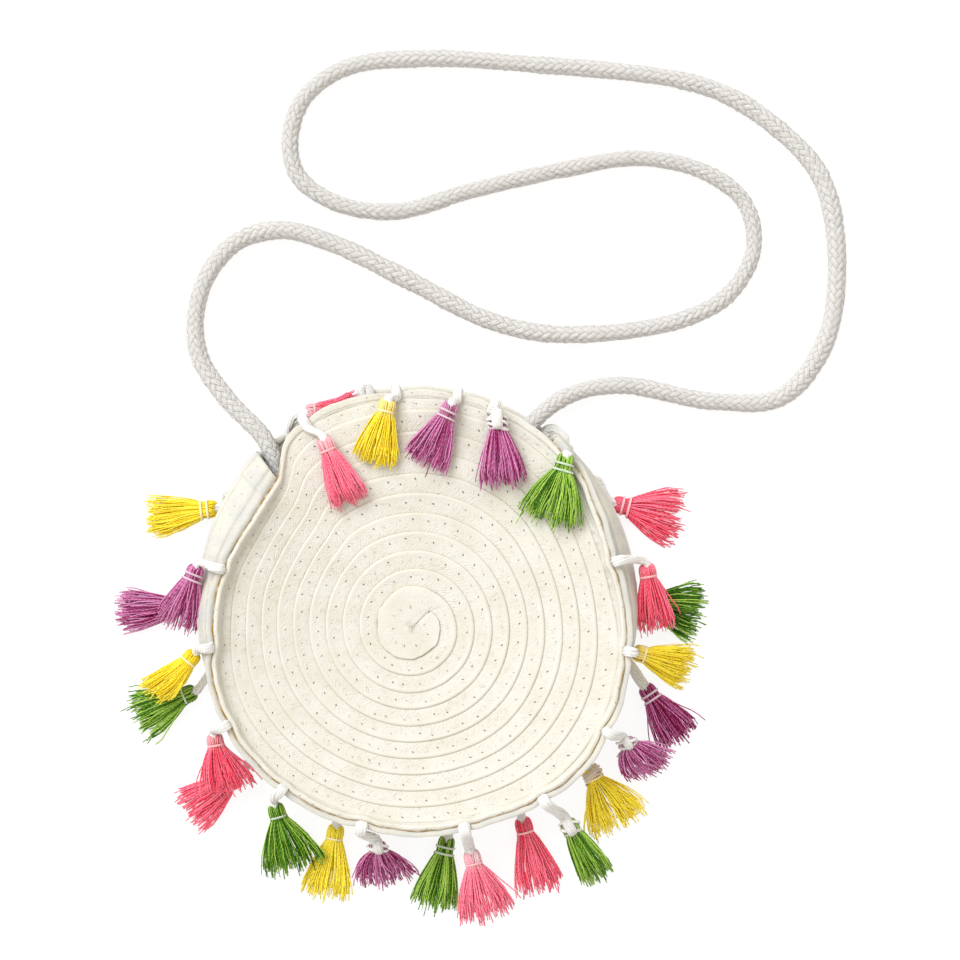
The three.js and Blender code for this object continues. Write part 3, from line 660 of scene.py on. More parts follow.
def yarn(name, dye, depth, light, range_of_tone):
    """Mercerised cotton yarn: dyed strands that differ, with a silky sheen, a twist and a painted highlight.

    depth says how dark the darkest strands are, light how pale the palest are, and range_of_tone how much the
    strands differ.
    """
    material, node = new_material(name)
    strand = node("NewGeometry", out="Random Per Island")
    along = node("Attribute", out="Fac", attribute_name="along")
    tone = node("Attribute", out="Fac", attribute_name="tone")
    whitened = node("Attribute", out="Fac", attribute_name="pale")
    span = node("SeparateXYZ", [node("UVMap", uv_map="span")]).node.outputs
    # The yarn's plies wind once round in 1.5 mm.
    wound = node("Math", [span[0], 1 / 1.5, span[1]], operation="MULTIPLY_ADD")
    twist = node("Math", [node("Math", [wound, 2 * math.pi], operation="MULTIPLY")], operation="SINE")
    # Painted highlight: strands are lightened along the twist of their plies, on top of the tassel's own
    # tone.
    twist_highlight_and_tone = node("Math", [twist, 0.2, tone], operation="MULTIPLY_ADD")
    faded = node("Math", [along, 0.22, twist_highlight_and_tone], operation="MULTIPLY_ADD")
    differ = node("Math", [strand, range_of_tone, 0.4 - range_of_tone / 2], operation="MULTIPLY_ADD")
    lightness = node("Math", [differ, faded], operation="ADD")
    ramp = node("ValToRGB", [lightness])
    middle = ramp.node.color_ramp.elements.new(0.42)
    middle.color = dye
    for element, power in ((0, depth), (-1, light)):
        ramp.node.color_ramp.elements[element].color = [part ** power for part in dye[:3]] + [1.0]
    base = node("Mix", {0: whitened, 6: ramp, 7: colour("#f4eeec")}, out=2, data_type="RGBA")
    bump = node("Bump", {"Height": twist, "Strength": 0.6, "Distance": 0.12 * MM})
    shader = node("BsdfPrincipled", {"Base Color": base, "Normal": bump, "Roughness": 0.45,
                                     "Specular IOR Level": 0.3, "Sheen Weight": 0.3, "Sheen Roughness": 0.4,
                                     "Sheen Tint": dye})
    node("OutputMaterial", [shader])
    return material


def soft_cotton(name, body):
    """Loosely spun cotton threads: matt, a little fuzzy and not all of one tone."""
    material, node = new_material(name)
    strand = node("NewGeometry", out="Random Per Island")
    shade = [part * 0.92 for part in body[:3]] + [1.0]
    base = node("Mix", {0: strand, 6: body, 7: shade}, out=2, data_type="RGBA")
    # Tufts of fibre are 0.6 mm wide.
    fibre = node("TexNoise", {"Vector": node("TexCoord", out="Object"), "Scale": 1 / 0.0006, "Detail": 4.0})
    bump = node("Bump", {"Height": fibre, "Strength": 0.5, "Distance": 0.3 * MM})
    shader = node("BsdfPrincipled", {"Base Color": base, "Normal": bump, "Roughness": 0.95,
                                     "Specular IOR Level": 0.2, "Sheen Weight": 0.4, "Sheen Roughness": 0.5})
    node("OutputMaterial", [shader])
    return material


def material_once(name, make, *values):
    """A material that is made the first time it is asked for."""
    return bpy.data.materials.get(name) or make(name, *values)


# Straw body


def row_pitch(radius):
    """Width of one row of braid in a panel of this radius."""
    return (radius - FLANGE + 1 - COIL_RADIUS) / ROWS


# Section of the braid: share of the way across its row, and height. It runs from the tucked inner edge over
# the top to the outer edge, and back underneath.
BRAID_TOP = ((-0.16, -0.8), (-0.05, -0.42), (0.02, -0.08), (0.08, 0.04), (0.18, 0.12), (0.3, 0.18),
             (0.42, 0.24), (0.54, 0.3), (0.66, 0.36), (0.75, 0.43), (0.81, 0.51), (0.87, 0.58), (0.93, 0.56),
             (0.98, 0.39), (1.02, 0.1))
BRAID_EDGE = 0.76  # share across at which the smooth rolled edge starts
BRAID_UNDER = ((1.0, -0.3), (0.5, -0.8), (0.02, -1.15), (-0.16, -1.2))
BRAID_SECTION = np.array(BRAID_TOP + BRAID_UNDER + BRAID_TOP[:1])
DISC_TOP = 0.58  # height of the flat middle over the panel
BRAID_START = 0.886  # turns at which the folded end of the braid shows
COLUMN_LENGTH = {"front": 0.85, "back": 1.7}  # millimetres of braid to a column of faces
COIL_END = {"front": FRONT_RADIUS - 2, "back": BACK_RADIUS - 0.9}  # radius at which the last row ends
RIM_POINTS = {"front": 721, "back": 481, "gusset": 520}  # points along the lip, the back edge and the gusset
# Relief of the plait, the length of its waves, and the unevenness along a row and in the flat middle
WEAVE = {"height": 0.1, "length": 2.6, "drift": 0.06, "middle": 0.1}
EDGE_WAVER = (0.05, 0.024)  # how far the outer edge wavers in the first turns and later, in rows
FOLD_DEPTH = 0.6  # how far the braid's folded end sinks in beside the next turn
# How clearly the weave and the needle holes show
SEWN = {"middle": 0.65, "rows": 1, "lip": 0.6, "gusset": 0.45}


def wound_braid(name, radius, last_radius, sign, column_length, place):
    """A strip of braid that winds outwards from the middle.

    place turns angles, flat radii and heights of the braid's surface into points.
    """
    pitch = row_pitch(radius)
    turns = np.linspace(BRAID_START, ROWS + 1, 4000)
    reach = np.minimum(COIL_RADIUS + pitch * turns, last_radius)
    length = np.concatenate([[0], np.cumsum(np.diff(turns) * 2 * np.pi * (reach[1:] - pitch / 2))])
    along = np.linspace(0, length[-1], int(length[-1] / column_length))
    mesh = lattice(name, along, np.maximum(BRAID_SECTION[:, 0], 0) * pitch, wrap_across=True)
    column, row = indices(mesh)
    here = np.interp(along, length, turns)[column]
    share, height = BRAID_SECTION[row % (len(BRAID_SECTION) - 1)].T
    outer = blend(COIL_RADIUS + pitch * here, last_radius, smooth(ROWS - 0.03, ROWS + 0.03, here))
    first_turn = 1 - smooth(BRAID_START + 1, BRAID_START + 1.02, here)
    inner = np.maximum(COIL_RADIUS + pitch * (here - 1), 0) * (1 - first_turn)
    inner = np.minimum(inner, outer - 0.2)
    first, later = EDGE_WAVER
    waver = blend(first * wobble(here * 17, 9), later * wobble(here * 16, 3), smooth(1.6, 2.2, here))
    flat = np.maximum(blend(inner, outer, share + waver * (share > 0.9)), 0)
    flat = np.minimum(flat, last_radius)
    disc = 1 - smooth(BRAID_START + 0.5, BRAID_START + 1, here)
    on_top = row % (len(BRAID_SECTION) - 1) < len(BRAID_TOP)
    level = np.where(on_top, blend(height, np.maximum(height, DISC_TOP * (share > -0.1)), disc), height)
    level *= np.where(level > 0, np.clip((ROWS + 0.6 - here) * 3, 0.3, 1), 1)
    chevron = (along[column] + np.abs(share - 0.5) * pitch) / WEAVE["length"]
    woven = on_top & (share > 0.03) & (share < BRAID_EDGE)
    sewn = smooth(BRAID_START + 0.9, BRAID_START + 1.1, here)
    uneven = 0.6 + 0.4 * wobble(here * 41 + share * 9, 6)
    plait = WEAVE["height"] * uneven * np.cos(2 * np.pi * chevron) + WEAVE["drift"] * wobble(here * 23, 5)
    level += woven * sewn * plait
    level += WEAVE["middle"] * disc * woven * wobble(here * 33 + share * 11, 12)
    folded_end = smooth(BRAID_START + 0.975, BRAID_START + 0.99, here) * (here < BRAID_START + 1.01)
    level -= FOLD_DEPTH * folded_end * (share < 0.55)
    mark(mesh, "sewn", blend(SEWN["middle"], SEWN["rows"], sewn))
    return put(mesh, place(sign * 360 * here, flat, level))


def ring_strip(name, section, angles, closed, across):
    """A strip with a closed section that runs round the rim, and the column and row of its points.

    section gives the points, of shape (angle, row, 3).
    """
    spots = section(angles)
    rows = spots.shape[1]
    arc = np.radians(angles - angles[0]) * BACK_RADIUS
    mesh = lattice(name, arc, np.append(across, across[0]), wrap_along=closed, wrap_across=True)
    column, row = indices(mesh)
    if closed:
        column = column % (len(angles) - 1)
    return put(mesh, spots[column, row % rows]), column, row % rows


# Section of the lip: how far in from the rim, height as a share of the lip, and added height.
LIP_SECTION = np.array([
    (3.0, 0.0, 0.1), (2.1, 0.06, 0.0), (1.75, 0.3, 0.0), (1.6, 0.6, 0.0), (1.45, 0.88, 0.0), (1.2, 0.99, 0.0),
    (0.6, 1.03, 0.0), (0.0, 1.0, 0.0), (-0.35, 0.97, 0.0), (-0.6, 0.92, 0.0), (-1.25, 0.9, 0.0),
    (-1.3, 0.5, 0.0), (0.05, 0.0, -0.9), (1.2, 0.0, -1.5), (2.8, 0.0, -1.4),
])
LIP_WIDTH = 7.0  # of the braid that goes round the lip
LIP_OUTSIDE = (9, 12)  # first and last row that face the seam
SEAM_SHADE_ANGLE = 165  # angle at which painted shade deepens the seam's thread colour most
SEAM_SHOWN = {"least": 0.8, "gusset": 0.8}  # seam strength where painted shade is least, and in the gusset's seam
RIM_WAVE = {"free": 0.5, "pull": 0.9, "degrees": 2.6}  # its own waves, and a loop's pull and how wide that is
# Section of the back panel's edge: how far in from the rim, and height.
BACK_EDGE = np.array([(3.2, 0.15), (1.2, 0.1), (0.3, 0.35), (0.0, 0.9), (0.05, 1.6), (0.5, 2.15), (1.6, 2.3),
                      (3.2, 2.2)])
BACK_EDGE_WIDTH = 6.0  # of the braid that goes round that edge


def rim_wave(angles):
    """How far the sewn rim waves in and out. The loops pull it in."""
    pulled = sum(np.exp(-((np.mod(angles - row["at"] + 180, 360) - 180) / RIM_WAVE["degrees"]) ** 2)
                 for row in TASSELS if row["rim"] == "front")
    return RIM_WAVE["free"] * wobble(np.radians(angles) * 9, 1) - RIM_WAVE["pull"] * pulled


def front_lip(angles):
    """The front panel's standing edge."""
    rim = rim_radius(angles) + rim_wave(angles)
    lip = lip_height(angles)
    foot = rim_top(angles) - lip
    lift = lip * (1 + 0.08 * wobble(np.radians(angles) * 11, 2))
    away = (rim[:, None] - LIP_SECTION[:, 0])[..., None]
    flat = direction(angles)[:, None] * away + FRONT_CENTRE
    height = foot[:, None] + lift[:, None] * LIP_SECTION[:, 1] + LIP_SECTION[:, 2]
    return np.concatenate([flat, height[..., None]], axis=2)


def back_edge(angles):
    """The back panel's sewn edge."""
    away = (BACK_RADIUS - BACK_EDGE[:, 0])[None, :] + 0.25 * wobble(np.radians(angles) * 10, 4)[:, None]
    flat = direction(angles)[:, None] * away[..., None]
    height = np.broadcast_to(BACK_EDGE[:, 1], away.shape)
    return np.concatenate([flat, height[..., None]], axis=2)


GUSSET_ROWS = 5
ROW_PROFILE = np.array([step for step in BRAID_TOP if step[0] > 0])  # one row's share across and height
GUSSET_STEPS = GUSSET_ROWS * len(ROW_PROFILE)
GUSSET_LINING = 9  # rows of points across the gusset's inner side
LINING_WIDTH = 6.0  # of the pattern on that side
GUSSET_RELIEF = {"share": 0.7, "sunk": 0.24}  # its rows are flatter than a panel's


def gusset_wall(angles):
    """The gusset's strip of braid, in section from the back seam to the front seam and back inside."""
    every = np.ones(len(angles))
    top = rim_top(angles)
    lip = rim_radius(angles) + rim_wave(angles) + SEAM + GUSSET["wall"] / 2
    flange = (BACK_TOP + SEAM + GUSSET["wall"] / 2) * every
    bulge = GUSSET["bulge"] * every
    # Share of the way from the back's middle to the front's, radius and height
    corners = [
        (0, (BACK_RADIUS - 0.5) * every, flange),
        (0, (BACK_RADIUS - FLANGE) * every, flange),
        (0.2, bulge - GUSSET["wall"], flange + GUSSET["turn_up"]),
        (0.5, bulge, top / 2),
        (0.8, blend(lip, bulge, 0.5), blend(top / 2, top - FLANGE, 0.7)),
        (1, lip, top - FLANGE + 0.5),
        (1, lip, top - 0.4),
    ]
    knots = np.stack([np.stack([share * every, radius, z], axis=1) for share, radius, z in corners], axis=1)
    before, after = 2 * knots[:, :1] - knots[:, 1:2], 2 * knots[:, -1:] - knots[:, -2:-1]
    padded = np.concatenate([before, knots, after], axis=1)

    def curve(t):
        at = np.clip(t, 0, 1) * (len(corners) - 1)
        k = np.minimum(at.astype(int), len(corners) - 2)
        f = (at - k)[None, :, None]
        a, b, c, d = (padded[:, k + i] for i in range(4))
        tense = 0.5 * ((c - a) + f * (2 * a - 5 * b + 4 * c - d + f * (3 * (b - c) + d - a)))
        return b + f * tense

    fine = np.linspace(0, 1, 200)
    middle_line = curve(fine)[len(angles) // 2, :, 1:]
    length = np.concatenate([[0], np.cumsum(np.linalg.norm(np.diff(middle_line, axis=0), axis=1))])
    shares = (np.arange(GUSSET_ROWS)[:, None] + np.clip(ROW_PROFILE[:, 0], 0, 0.999)).ravel() / GUSSET_ROWS
    outside = np.interp(shares, length / length[-1], fine)
    t = np.concatenate([outside, np.linspace(1, 0, GUSSET_LINING)])
    middle, step = curve(t), 0.004
    ahead = curve(t + step) - curve(t - step)
    across = np.stack([ahead[..., 2], -ahead[..., 1]], axis=2)
    across /= np.linalg.norm(across, axis=2, keepdims=True) + 1e-9
    to_end = np.minimum(angles - GUSSET["from"], GUSSET["to"] - angles)
    hem = GUSSET["hem"] * (1 - smooth(GUSSET["hem_angle"] - 0.4, GUSSET["hem_angle"], to_end))
    rows = np.tile(ROW_PROFILE[:, 1], GUSSET_ROWS) * GUSSET_RELIEF["share"]
    relief = np.append(rows, np.zeros(GUSSET_LINING)) - GUSSET_RELIEF["sunk"]
    wall = GUSSET["wall"] / 2 + hem[:, None] + relief[None, :]
    lining = GUSSET["wall"] / 2 + 0.5 * smooth(0.8, 0.95, t)
    side = np.where(np.arange(len(t)) < GUSSET_STEPS, wall, -lining)
    radius = middle[..., 1] + side * across[..., 0]
    height = middle[..., 2] + side * across[..., 1]
    flat = direction(angles)[:, None] * radius[..., None] + FRONT_CENTRE * middle[..., :1]
    return np.concatenate([flat, height[..., None]], axis=2)


# Operators, one for each piece or group of like pieces


class BackPanel(bpy.types.Operator):
    """Winds the braid of the back panel and sews its edge"""
    bl_idname = "straw_bag.back_panel"
    bl_label = "Back panel"

    def execute(self, context):
        def place(angle, flat, height):
            spot = direction(angle) * flat[:, None]
            return np.concatenate([spot, (ROW_STEP - height)[:, None]], axis=1)

        sizes = straw()
        material = material_once("cream paper braid", paper_braid, sizes.cream, sizes.shade)
        coil = wound_braid("back coil", BACK_RADIUS, COIL_END["back"], 1, COLUMN_LENGTH["back"], place)
        around = np.linspace(0, 360, RIM_POINTS["back"])
        across = np.linspace(0, BACK_EDGE_WIDTH, len(BACK_EDGE))
        edge, *_ = ring_strip("back edge", back_edge, around, True, across)
        mesh = joined("back_panel_braid", [(coil, 0), (edge, 0)])
        piece("back_panel_braid", mesh, [material], ["back_panel"])
        return {"FINISHED"}


class FrontPanel(bpy.types.Operator):
    """Winds the braid of the front panel over its sunken middle and turns up its lip"""
    bl_idname = "straw_bag.front_panel"
    bl_label = "Front panel"

    def execute(self, context):
        def place(angle, flat, height):
            spot = front_spot(angle, flat)
            return np.concatenate([spot, (front_height(*spot.T) + height)[:, None]], axis=1)

        sizes = straw()
        material = material_once("cream paper braid", paper_braid, sizes.cream, sizes.shade)
        coil = wound_braid("front coil", FRONT_RADIUS, COIL_END["front"], -1, COLUMN_LENGTH["front"], place)
        around = np.linspace(0, 360, RIM_POINTS["front"])
        across = np.linspace(0, LIP_WIDTH, len(LIP_SECTION))
        lip, column, row = ring_strip("front lip", front_lip, around, True, across)
        mouth_start, mouth_end = GUSSET["to"] - 360, GUSSET["from"]
        past_start = smooth(mouth_start - 2, mouth_start + 4, around)
        open_mouth = past_start * (1 - smooth(mouth_end - 6, mouth_end, around))
        outside = (row >= LIP_OUTSIDE[0]) & (row <= LIP_OUTSIDE[1])
        # Painted shade: the rim seam's own thread colour is deepened on the left side and weaker on the far
        # side.
        toward_seam_shade = smooth(-0.2, 0.8, np.cos(np.radians(around - SEAM_SHADE_ANGLE)))
        shown = blend(SEAM_SHOWN["least"], 1, toward_seam_shade)
        mark(lip, "seam", outside * ((1 - open_mouth) * shown)[column])
        mark(lip, "sewn", (row < LIP_OUTSIDE[0]) * SEWN["lip"])
        mesh = joined("front_panel_braid", [(coil, 0), (lip, 0)])
        piece("front_panel_braid", mesh, [material], ["front_panel"])
        return {"FINISHED"}


class Gusset(bpy.types.Operator):
    """Runs the gusset's rows of braid round between the rims"""
    bl_idname = "straw_bag.gusset"
    bl_label = "Gusset"

    def execute(self, context):
        sizes = straw()
        angles = np.linspace(GUSSET["from"], GUSSET["to"], RIM_POINTS["gusset"])
        outside = np.tile(np.minimum(ROW_PROFILE[:, 0], 0.995), GUSSET_ROWS) * row_pitch(FRONT_RADIUS)
        across = np.append(outside, np.linspace(LINING_WIDTH, 0, GUSSET_LINING))
        mesh, _, row = ring_strip("gusset_braid", gusset_wall, angles, False, across)
        mark(mesh, "seam", SEAM_SHOWN["gusset"] * (row == GUSSET_STEPS + 1))
        mark(mesh, "sewn", SEWN["gusset"] * (row < GUSSET_STEPS))
        material = material_once("white paper braid", paper_braid, sizes.white, sizes.shade)
        piece("gusset_braid", mesh, [material], ["gusset"])
        return {"FINISHED"}


class Strap(bpy.types.Operator):
    """Plaits the rope strap along its route"""
    bl_idname = "straw_bag.strap"
    bl_label = "Strap"
    STEP = 0.62  # millimetres from one ring of points to the next
    SIDES = 48  # points in a ring
    RELIEF = 0.52  # how far a strand's crown stands over its edges
    FUZZ = 0.11  # unevenness of the cotton
    PATH_SHARE = 6  # one point in this many goes into the cord's path
    SLANT = 1.3  # how much longer than wide the plait's diamonds are

    def execute(self, context):
        rope = context.scene.straw_bag_rope
        radius = rope.diameter / MM / 2
        _, length = smooth_path(ROPE_ROUTE, 2)
        steps = int(length / self.STEP)
        path, _ = smooth_path(ROPE_ROUTE, steps)
        along = np.linspace(0, length, steps)[:, None]
        around = np.arange(self.SIDES)[None, :] / self.SIDES * rope.strands
        lead = 2 * math.pi * radius / rope.strands * self.SLANT
        twist = 0.35 * wobble(along * 0.03, 10)
        first, second = around + twist + along / lead, around + twist - along / lead
        cells = np.mod(np.floor(first) + np.floor(second), 4)
        over = cells < 2
        across = np.where(over, np.mod(first, 1), np.mod(second, 1)) * 2 - 1
        run = np.mod(cells, 2) + np.where(over, np.mod(second, 1), np.mod(first, 1)) - 1
        crown = (1 - np.abs(across) ** 3) * (1 - 0.65 * run ** 2)
        relief = self.RELIEF * (1 + 0.4 * wobble(along * 0.09, 11))
        thick = np.interp(along / length, *ROPE_THICKNESS.T)
        radii = radius * thick - self.RELIEF * 0.7 + relief * crown + 0.12 * wobble(along * 0.3, 8)
        radii = radii + np.random.default_rng(SEED).normal(0, self.FUZZ, radii.shape)
        mesh = tubes("strap_rope", path[None], radii[None], self.SIDES)
        step, _ = indices(mesh)
        mark(mesh, "twist", twist[step, 0])
        shown = piece("strap_rope", mesh, [plaited_cotton("plaited cotton", lead)], ["strap"])
        return {"FINISHED"}


# A tassel from the top of its head to its skirt's end: share of its length, width, depth and share of the
# spread.
TASSEL_OUTLINE = np.array([
    (0.0, 4.6, 3.6, 0.0), (0.05, 6.8, 6.0, 0.0), (0.1, 7.8, 7.0, 0.0), (0.15, 7.4, 6.6, 0.0),
    (0.21, 6.2, 5.4, 0.0), (0.28, 7.6, 6.0, 0.1), (0.4, 7.4, 6.0, 0.32), (0.6, 7.0, 6.0, 0.64),
    (0.8, 7.0, 6.0, 0.88), (1.0, 7.0, 6.0, 1.0), (1.2, 7.0, 6.0, 1.12),
])
STRAND_STEPS = np.array([0.0, 0.02, 0.05, 0.1, 0.16, 0.24, 0.34, 0.46, 0.6, 0.74, 0.87, 1.0])
STRAND_SIDES = 4
CUT = 0.07  # how unevenly the strands are cut, as a share of the length
STRAY = 0.2  # how far a loose strand strays, as a share of the spread
TIE_PLACES = {1: (0.205,), 2: (0.15, 0.25)}  # shares of the length, for one or two binding threads
TIE_RADIUS = 0.31
TIE_SIDES = 6
TIE_SLACK = 0.35  # how far a binding thread stands out from the neck
# How dark the darkest strands of a yarn are, how pale the palest are, and how much its strands differ
STRAND_TONES = {"pink": (1.08, 0.45, 0.6), "yellow": (1.03, 0.45, 0.6), "purple": (1.75, 0.38, 1.4),
                "green": (1.9, 0.42, 1.6)}
# How a loop leaves the front rim, as steps outwards and up from the seam at its top: out of the seam on to
# the panel or to the floor, or round the open edge of the mouth.
LOOP_LEADS = {
    "panel": ((0, -3.5), (0, 0.6), (-1.9, 1.9), (-4.2, 0.9)),
    "floor": ((0, -3.5), (0, 0.6), (1.6, 1.9), (3.6, 0.9)),
    "edge": ((-4.0, -3.7), (0.4, -3.3), (2.1, -0.9), (0.3, 1.4), (-3.4, 1.2)),
}
LOOP_STEPS = 18  # points along a loop
LOOP_THREADS = 20  # threads on the outside of a loop, close enough to cover it
LOOP_TWIST = 2.6  # radians that a loop's threads wind round each other
THREAD_RADIUS = 0.55
WRAP_RADIUS = 0.62
WRAP_SIDES = 8
LOBE = {"apart": 1.9, "width": 1.7}  # the two halves of a head, from its middle, and half of their width


def thread_bundle(route, sides, width, depth, count, rng):
    """Paths and radii of soft threads that run together along a route.

    sides is the way that the bundle is wide.
    """
    share = np.linspace(0, 1, len(route))
    ups = np.cross(sides, np.gradient(route, axis=0))
    ups /= np.linalg.norm(ups, axis=1, keepdims=True) + 1e-9
    place = np.arange(count)[:, None] + rng.uniform(-0.4, 0.4, (count, 1))
    turn = place * 2 * np.pi / count + LOOP_TWIST * share
    reach = rng.uniform(0.7, 1, (count, 1))
    beside, above = reach * np.cos(turn) * width, reach * np.sin(turn) * depth
    paths = route + beside[..., None] * sides + above[..., None] * ups
    return paths, THREAD_RADIUS * rng.uniform(0.8, 1.3, (count, 1)) * np.ones(len(route))


class TasselForm:
    """The place and outline of one tassel."""

    def __init__(self, row, style):
        self.row = row
        self.style = {**PLAIN_STYLE, **style}
        self.head = np.array([row["head_x"], row["head_y"]]) + FRONT_CENTRE
        tip = np.array([row["tip_x"], row["tip_y"]]) + FRONT_CENTRE
        self.length = np.linalg.norm(tip - self.head)
        self.ahead = (tip - self.head) / self.length
        self.across = np.array([self.ahead[1], -self.ahead[0]])

    def half_sizes(self, share):
        """Half the width and depth of the tassel at these shares of its length."""
        at, *columns = TASSEL_OUTLINE.T
        width, depth, skirt = (np.interp(share, at, values) for values in columns)
        skirt = skirt ** self.style["open"]
        spread = self.row["spread"] * self.style["wide"]
        return blend(width, spread, skirt) / 2, blend(depth, self.row["depth"], skirt) / 2

    def points(self, share, sideways, rise):
        """Points at a share of the length, millimetres sideways and a rise from the underside."""
        bend = self.style["curl"] * share ** 2
        beside = self.across * (sideways + bend)[..., None]
        flat = self.head + (self.ahead * self.length) * share[..., None] + beside
        under = blend(self.row["head_up"], self.row["tip_up"], np.clip(share, 0, 1))
        if self.row["lies"] == "panel":
            under = front_rest(flat[..., 0], flat[..., 1]) + under
        return np.concatenate([flat, (under + rise)[..., None]], axis=-1)

    def strands(self, count, radius, rng):
        """The strands' paths and radii."""
        turn = rng.uniform(0, 2 * np.pi, count)[:, None]
        spread = np.sqrt(rng.uniform(0.08, 1, count))[:, None]
        side, lift = spread * np.cos(turn), spread * np.sin(turn)
        cut = 1 + rng.normal(0, CUT, count)[:, None] - self.style["arc"] * side ** 2 * 0.5
        loose = rng.uniform(0, 1, count) < self.style["stray"]
        stray = (loose * rng.normal(0, STRAY, count).clip(-STRAY, STRAY))[:, None]
        share = STRAND_STEPS[None, :] * cut
        half_width, half_depth = self.half_sizes(share)
        skirt = smooth(0.2, 1.0, share)
        dome = np.where(share < 0.1, np.sqrt(np.clip(1 - (1 - share / 0.1) ** 2, 0, 1)), 1)
        lobe = np.where(side < 0, -1, 1) * (LOBE["apart"] + LOBE["width"] * (2 * np.abs(side) - 1) * dome)
        head = 1 - smooth(0.1, 0.2, share)
        sideways = blend(side * half_width, lobe, head)
        swing, pace = rng.normal(0, 0.5, (count, 1)), rng.uniform(3, 9, (count, 1))
        wave = self.style["wavy"] * swing * np.sin(share * pace + turn * 3)
        swing, pace = rng.normal(0, 0.24, (count, 1)), rng.uniform(12, 20, (count, 1))
        wave = wave + swing * np.sin(share * pace + turn * 7)
        sideways = sideways + skirt * (wave + stray * self.row["spread"])
        rise = half_depth * (1 + lift * dome)
        rise = np.maximum(rise + 0.4 * skirt * wave, radius)
        thin = blend(1, 0.75, skirt) * rng.uniform(0.8, 1.15, (count, 1))
        return self.points(share, sideways, rise), radius * thin

    def ties(self, count):
        """The binding threads round the neck, twice round each."""
        turn = np.linspace(0, 4 * np.pi, 33)
        rings = []
        for place in TIE_PLACES[count]:
            share = place + np.linspace(-0.012, 0.012, len(turn))
            half_width, half_depth = self.half_sizes(share)
            sideways = np.cos(turn) * (half_width + TIE_SLACK)
            rise = half_depth * (1 + np.sin(turn)) + TIE_SLACK * np.sin(turn) + 0.3
            rings.append(self.points(share, sideways, rise))
        return np.stack(rings)

    def loop_route(self):
        """The middle of the cotton loop, from its tuck in the seam to the tassel's head."""
        row = self.row
        at = np.array([row["at"]], float)
        out = direction(at)[0]
        places = ((-0.06, 4.4), (0.08, 7.4), (0.2, 6.2)) if self.style["over"] else ((-0.04, 2.6), (0.1, 3.6))
        ends = [self.points(np.array([share]), np.zeros(1), np.array([rise]))[0] for share, rise in places]
        if row["rim"] == "back":
            step = (BACK_RADIUS - LOOP["tuck"], BACK_RADIUS + 0.5, BACK_RADIUS + LOOP["reach"])
            turn = (4.0, 1.5, -1.0) if row["lies"] == "mouth" else (0, 0, 0)
            lead = [(*direction(row["at"] + t) * r, BACK_SEAM) for r, t in zip(step, turn)]
        else:
            rim, top = rim_radius(at)[0] + SEAM / 2, rim_top(at)[0]
            in_mouth = GUSSET["to"] - 360 < row["at"] < GUSSET["from"]
            steps = LOOP_LEADS["edge" if in_mouth else row["lies"]]
            lead = [(*(out * (rim + away) + FRONT_CENTRE), top + up) for away, up in steps]
        return np.array([*lead, *ends])

    def loop_threads(self, rng):
        """The cotton loop, a soft bundle of threads."""
        route, _ = smooth_path(self.loop_route(), LOOP_STEPS)
        tangent = direction(self.row["at"] + (0 if self.row["lies"] == "mouth" else 90))
        beside = np.array([*tangent, 0.0])
        across = np.array([*self.across, 0.0])
        beside = beside * (np.sign(beside @ across) or 1)
        share = np.linspace(0, 1, LOOP_STEPS)
        sides = blend(beside, across, smooth(0.3, 0.9, share)[:, None])
        sides /= np.linalg.norm(sides, axis=1, keepdims=True)
        width = blend(1.8, 1.5, share) * self.style["cord"]
        depth = blend(0.7, 1.3, smooth(0, 0.35, share)) * self.style["cord"]
        return thread_bundle(route, sides, width, depth, LOOP_THREADS, rng)

    def wraps(self, count, rng):
        """Cotton wound loosely round the head, each turn tilted another way."""
        turn = np.linspace(0, 2 * np.pi * count, 18 * count + 1)
        tilt = 0.05 * np.sin(turn * (1 + 0.4 / count) + rng.uniform(0, 6))
        share = 0.03 + 0.2 * turn / turn[-1] + tilt
        half_width, half_depth = self.half_sizes(np.clip(share, 0.03, 1))
        slack = 0.45 + 0.5 * wobble(turn * 0.45, int(self.row["at"]))
        sideways = np.cos(turn) * (half_width + slack)
        rise = np.maximum(half_depth * (1 + np.sin(turn)) + (0.5 + slack) * np.sin(turn), WRAP_RADIUS)
        thick = WRAP_RADIUS * (1 + 0.18 * wobble(turn * 0.8, int(self.row["at"]) + 1))
        return self.points(share, sideways, rise)[None], thick[None]


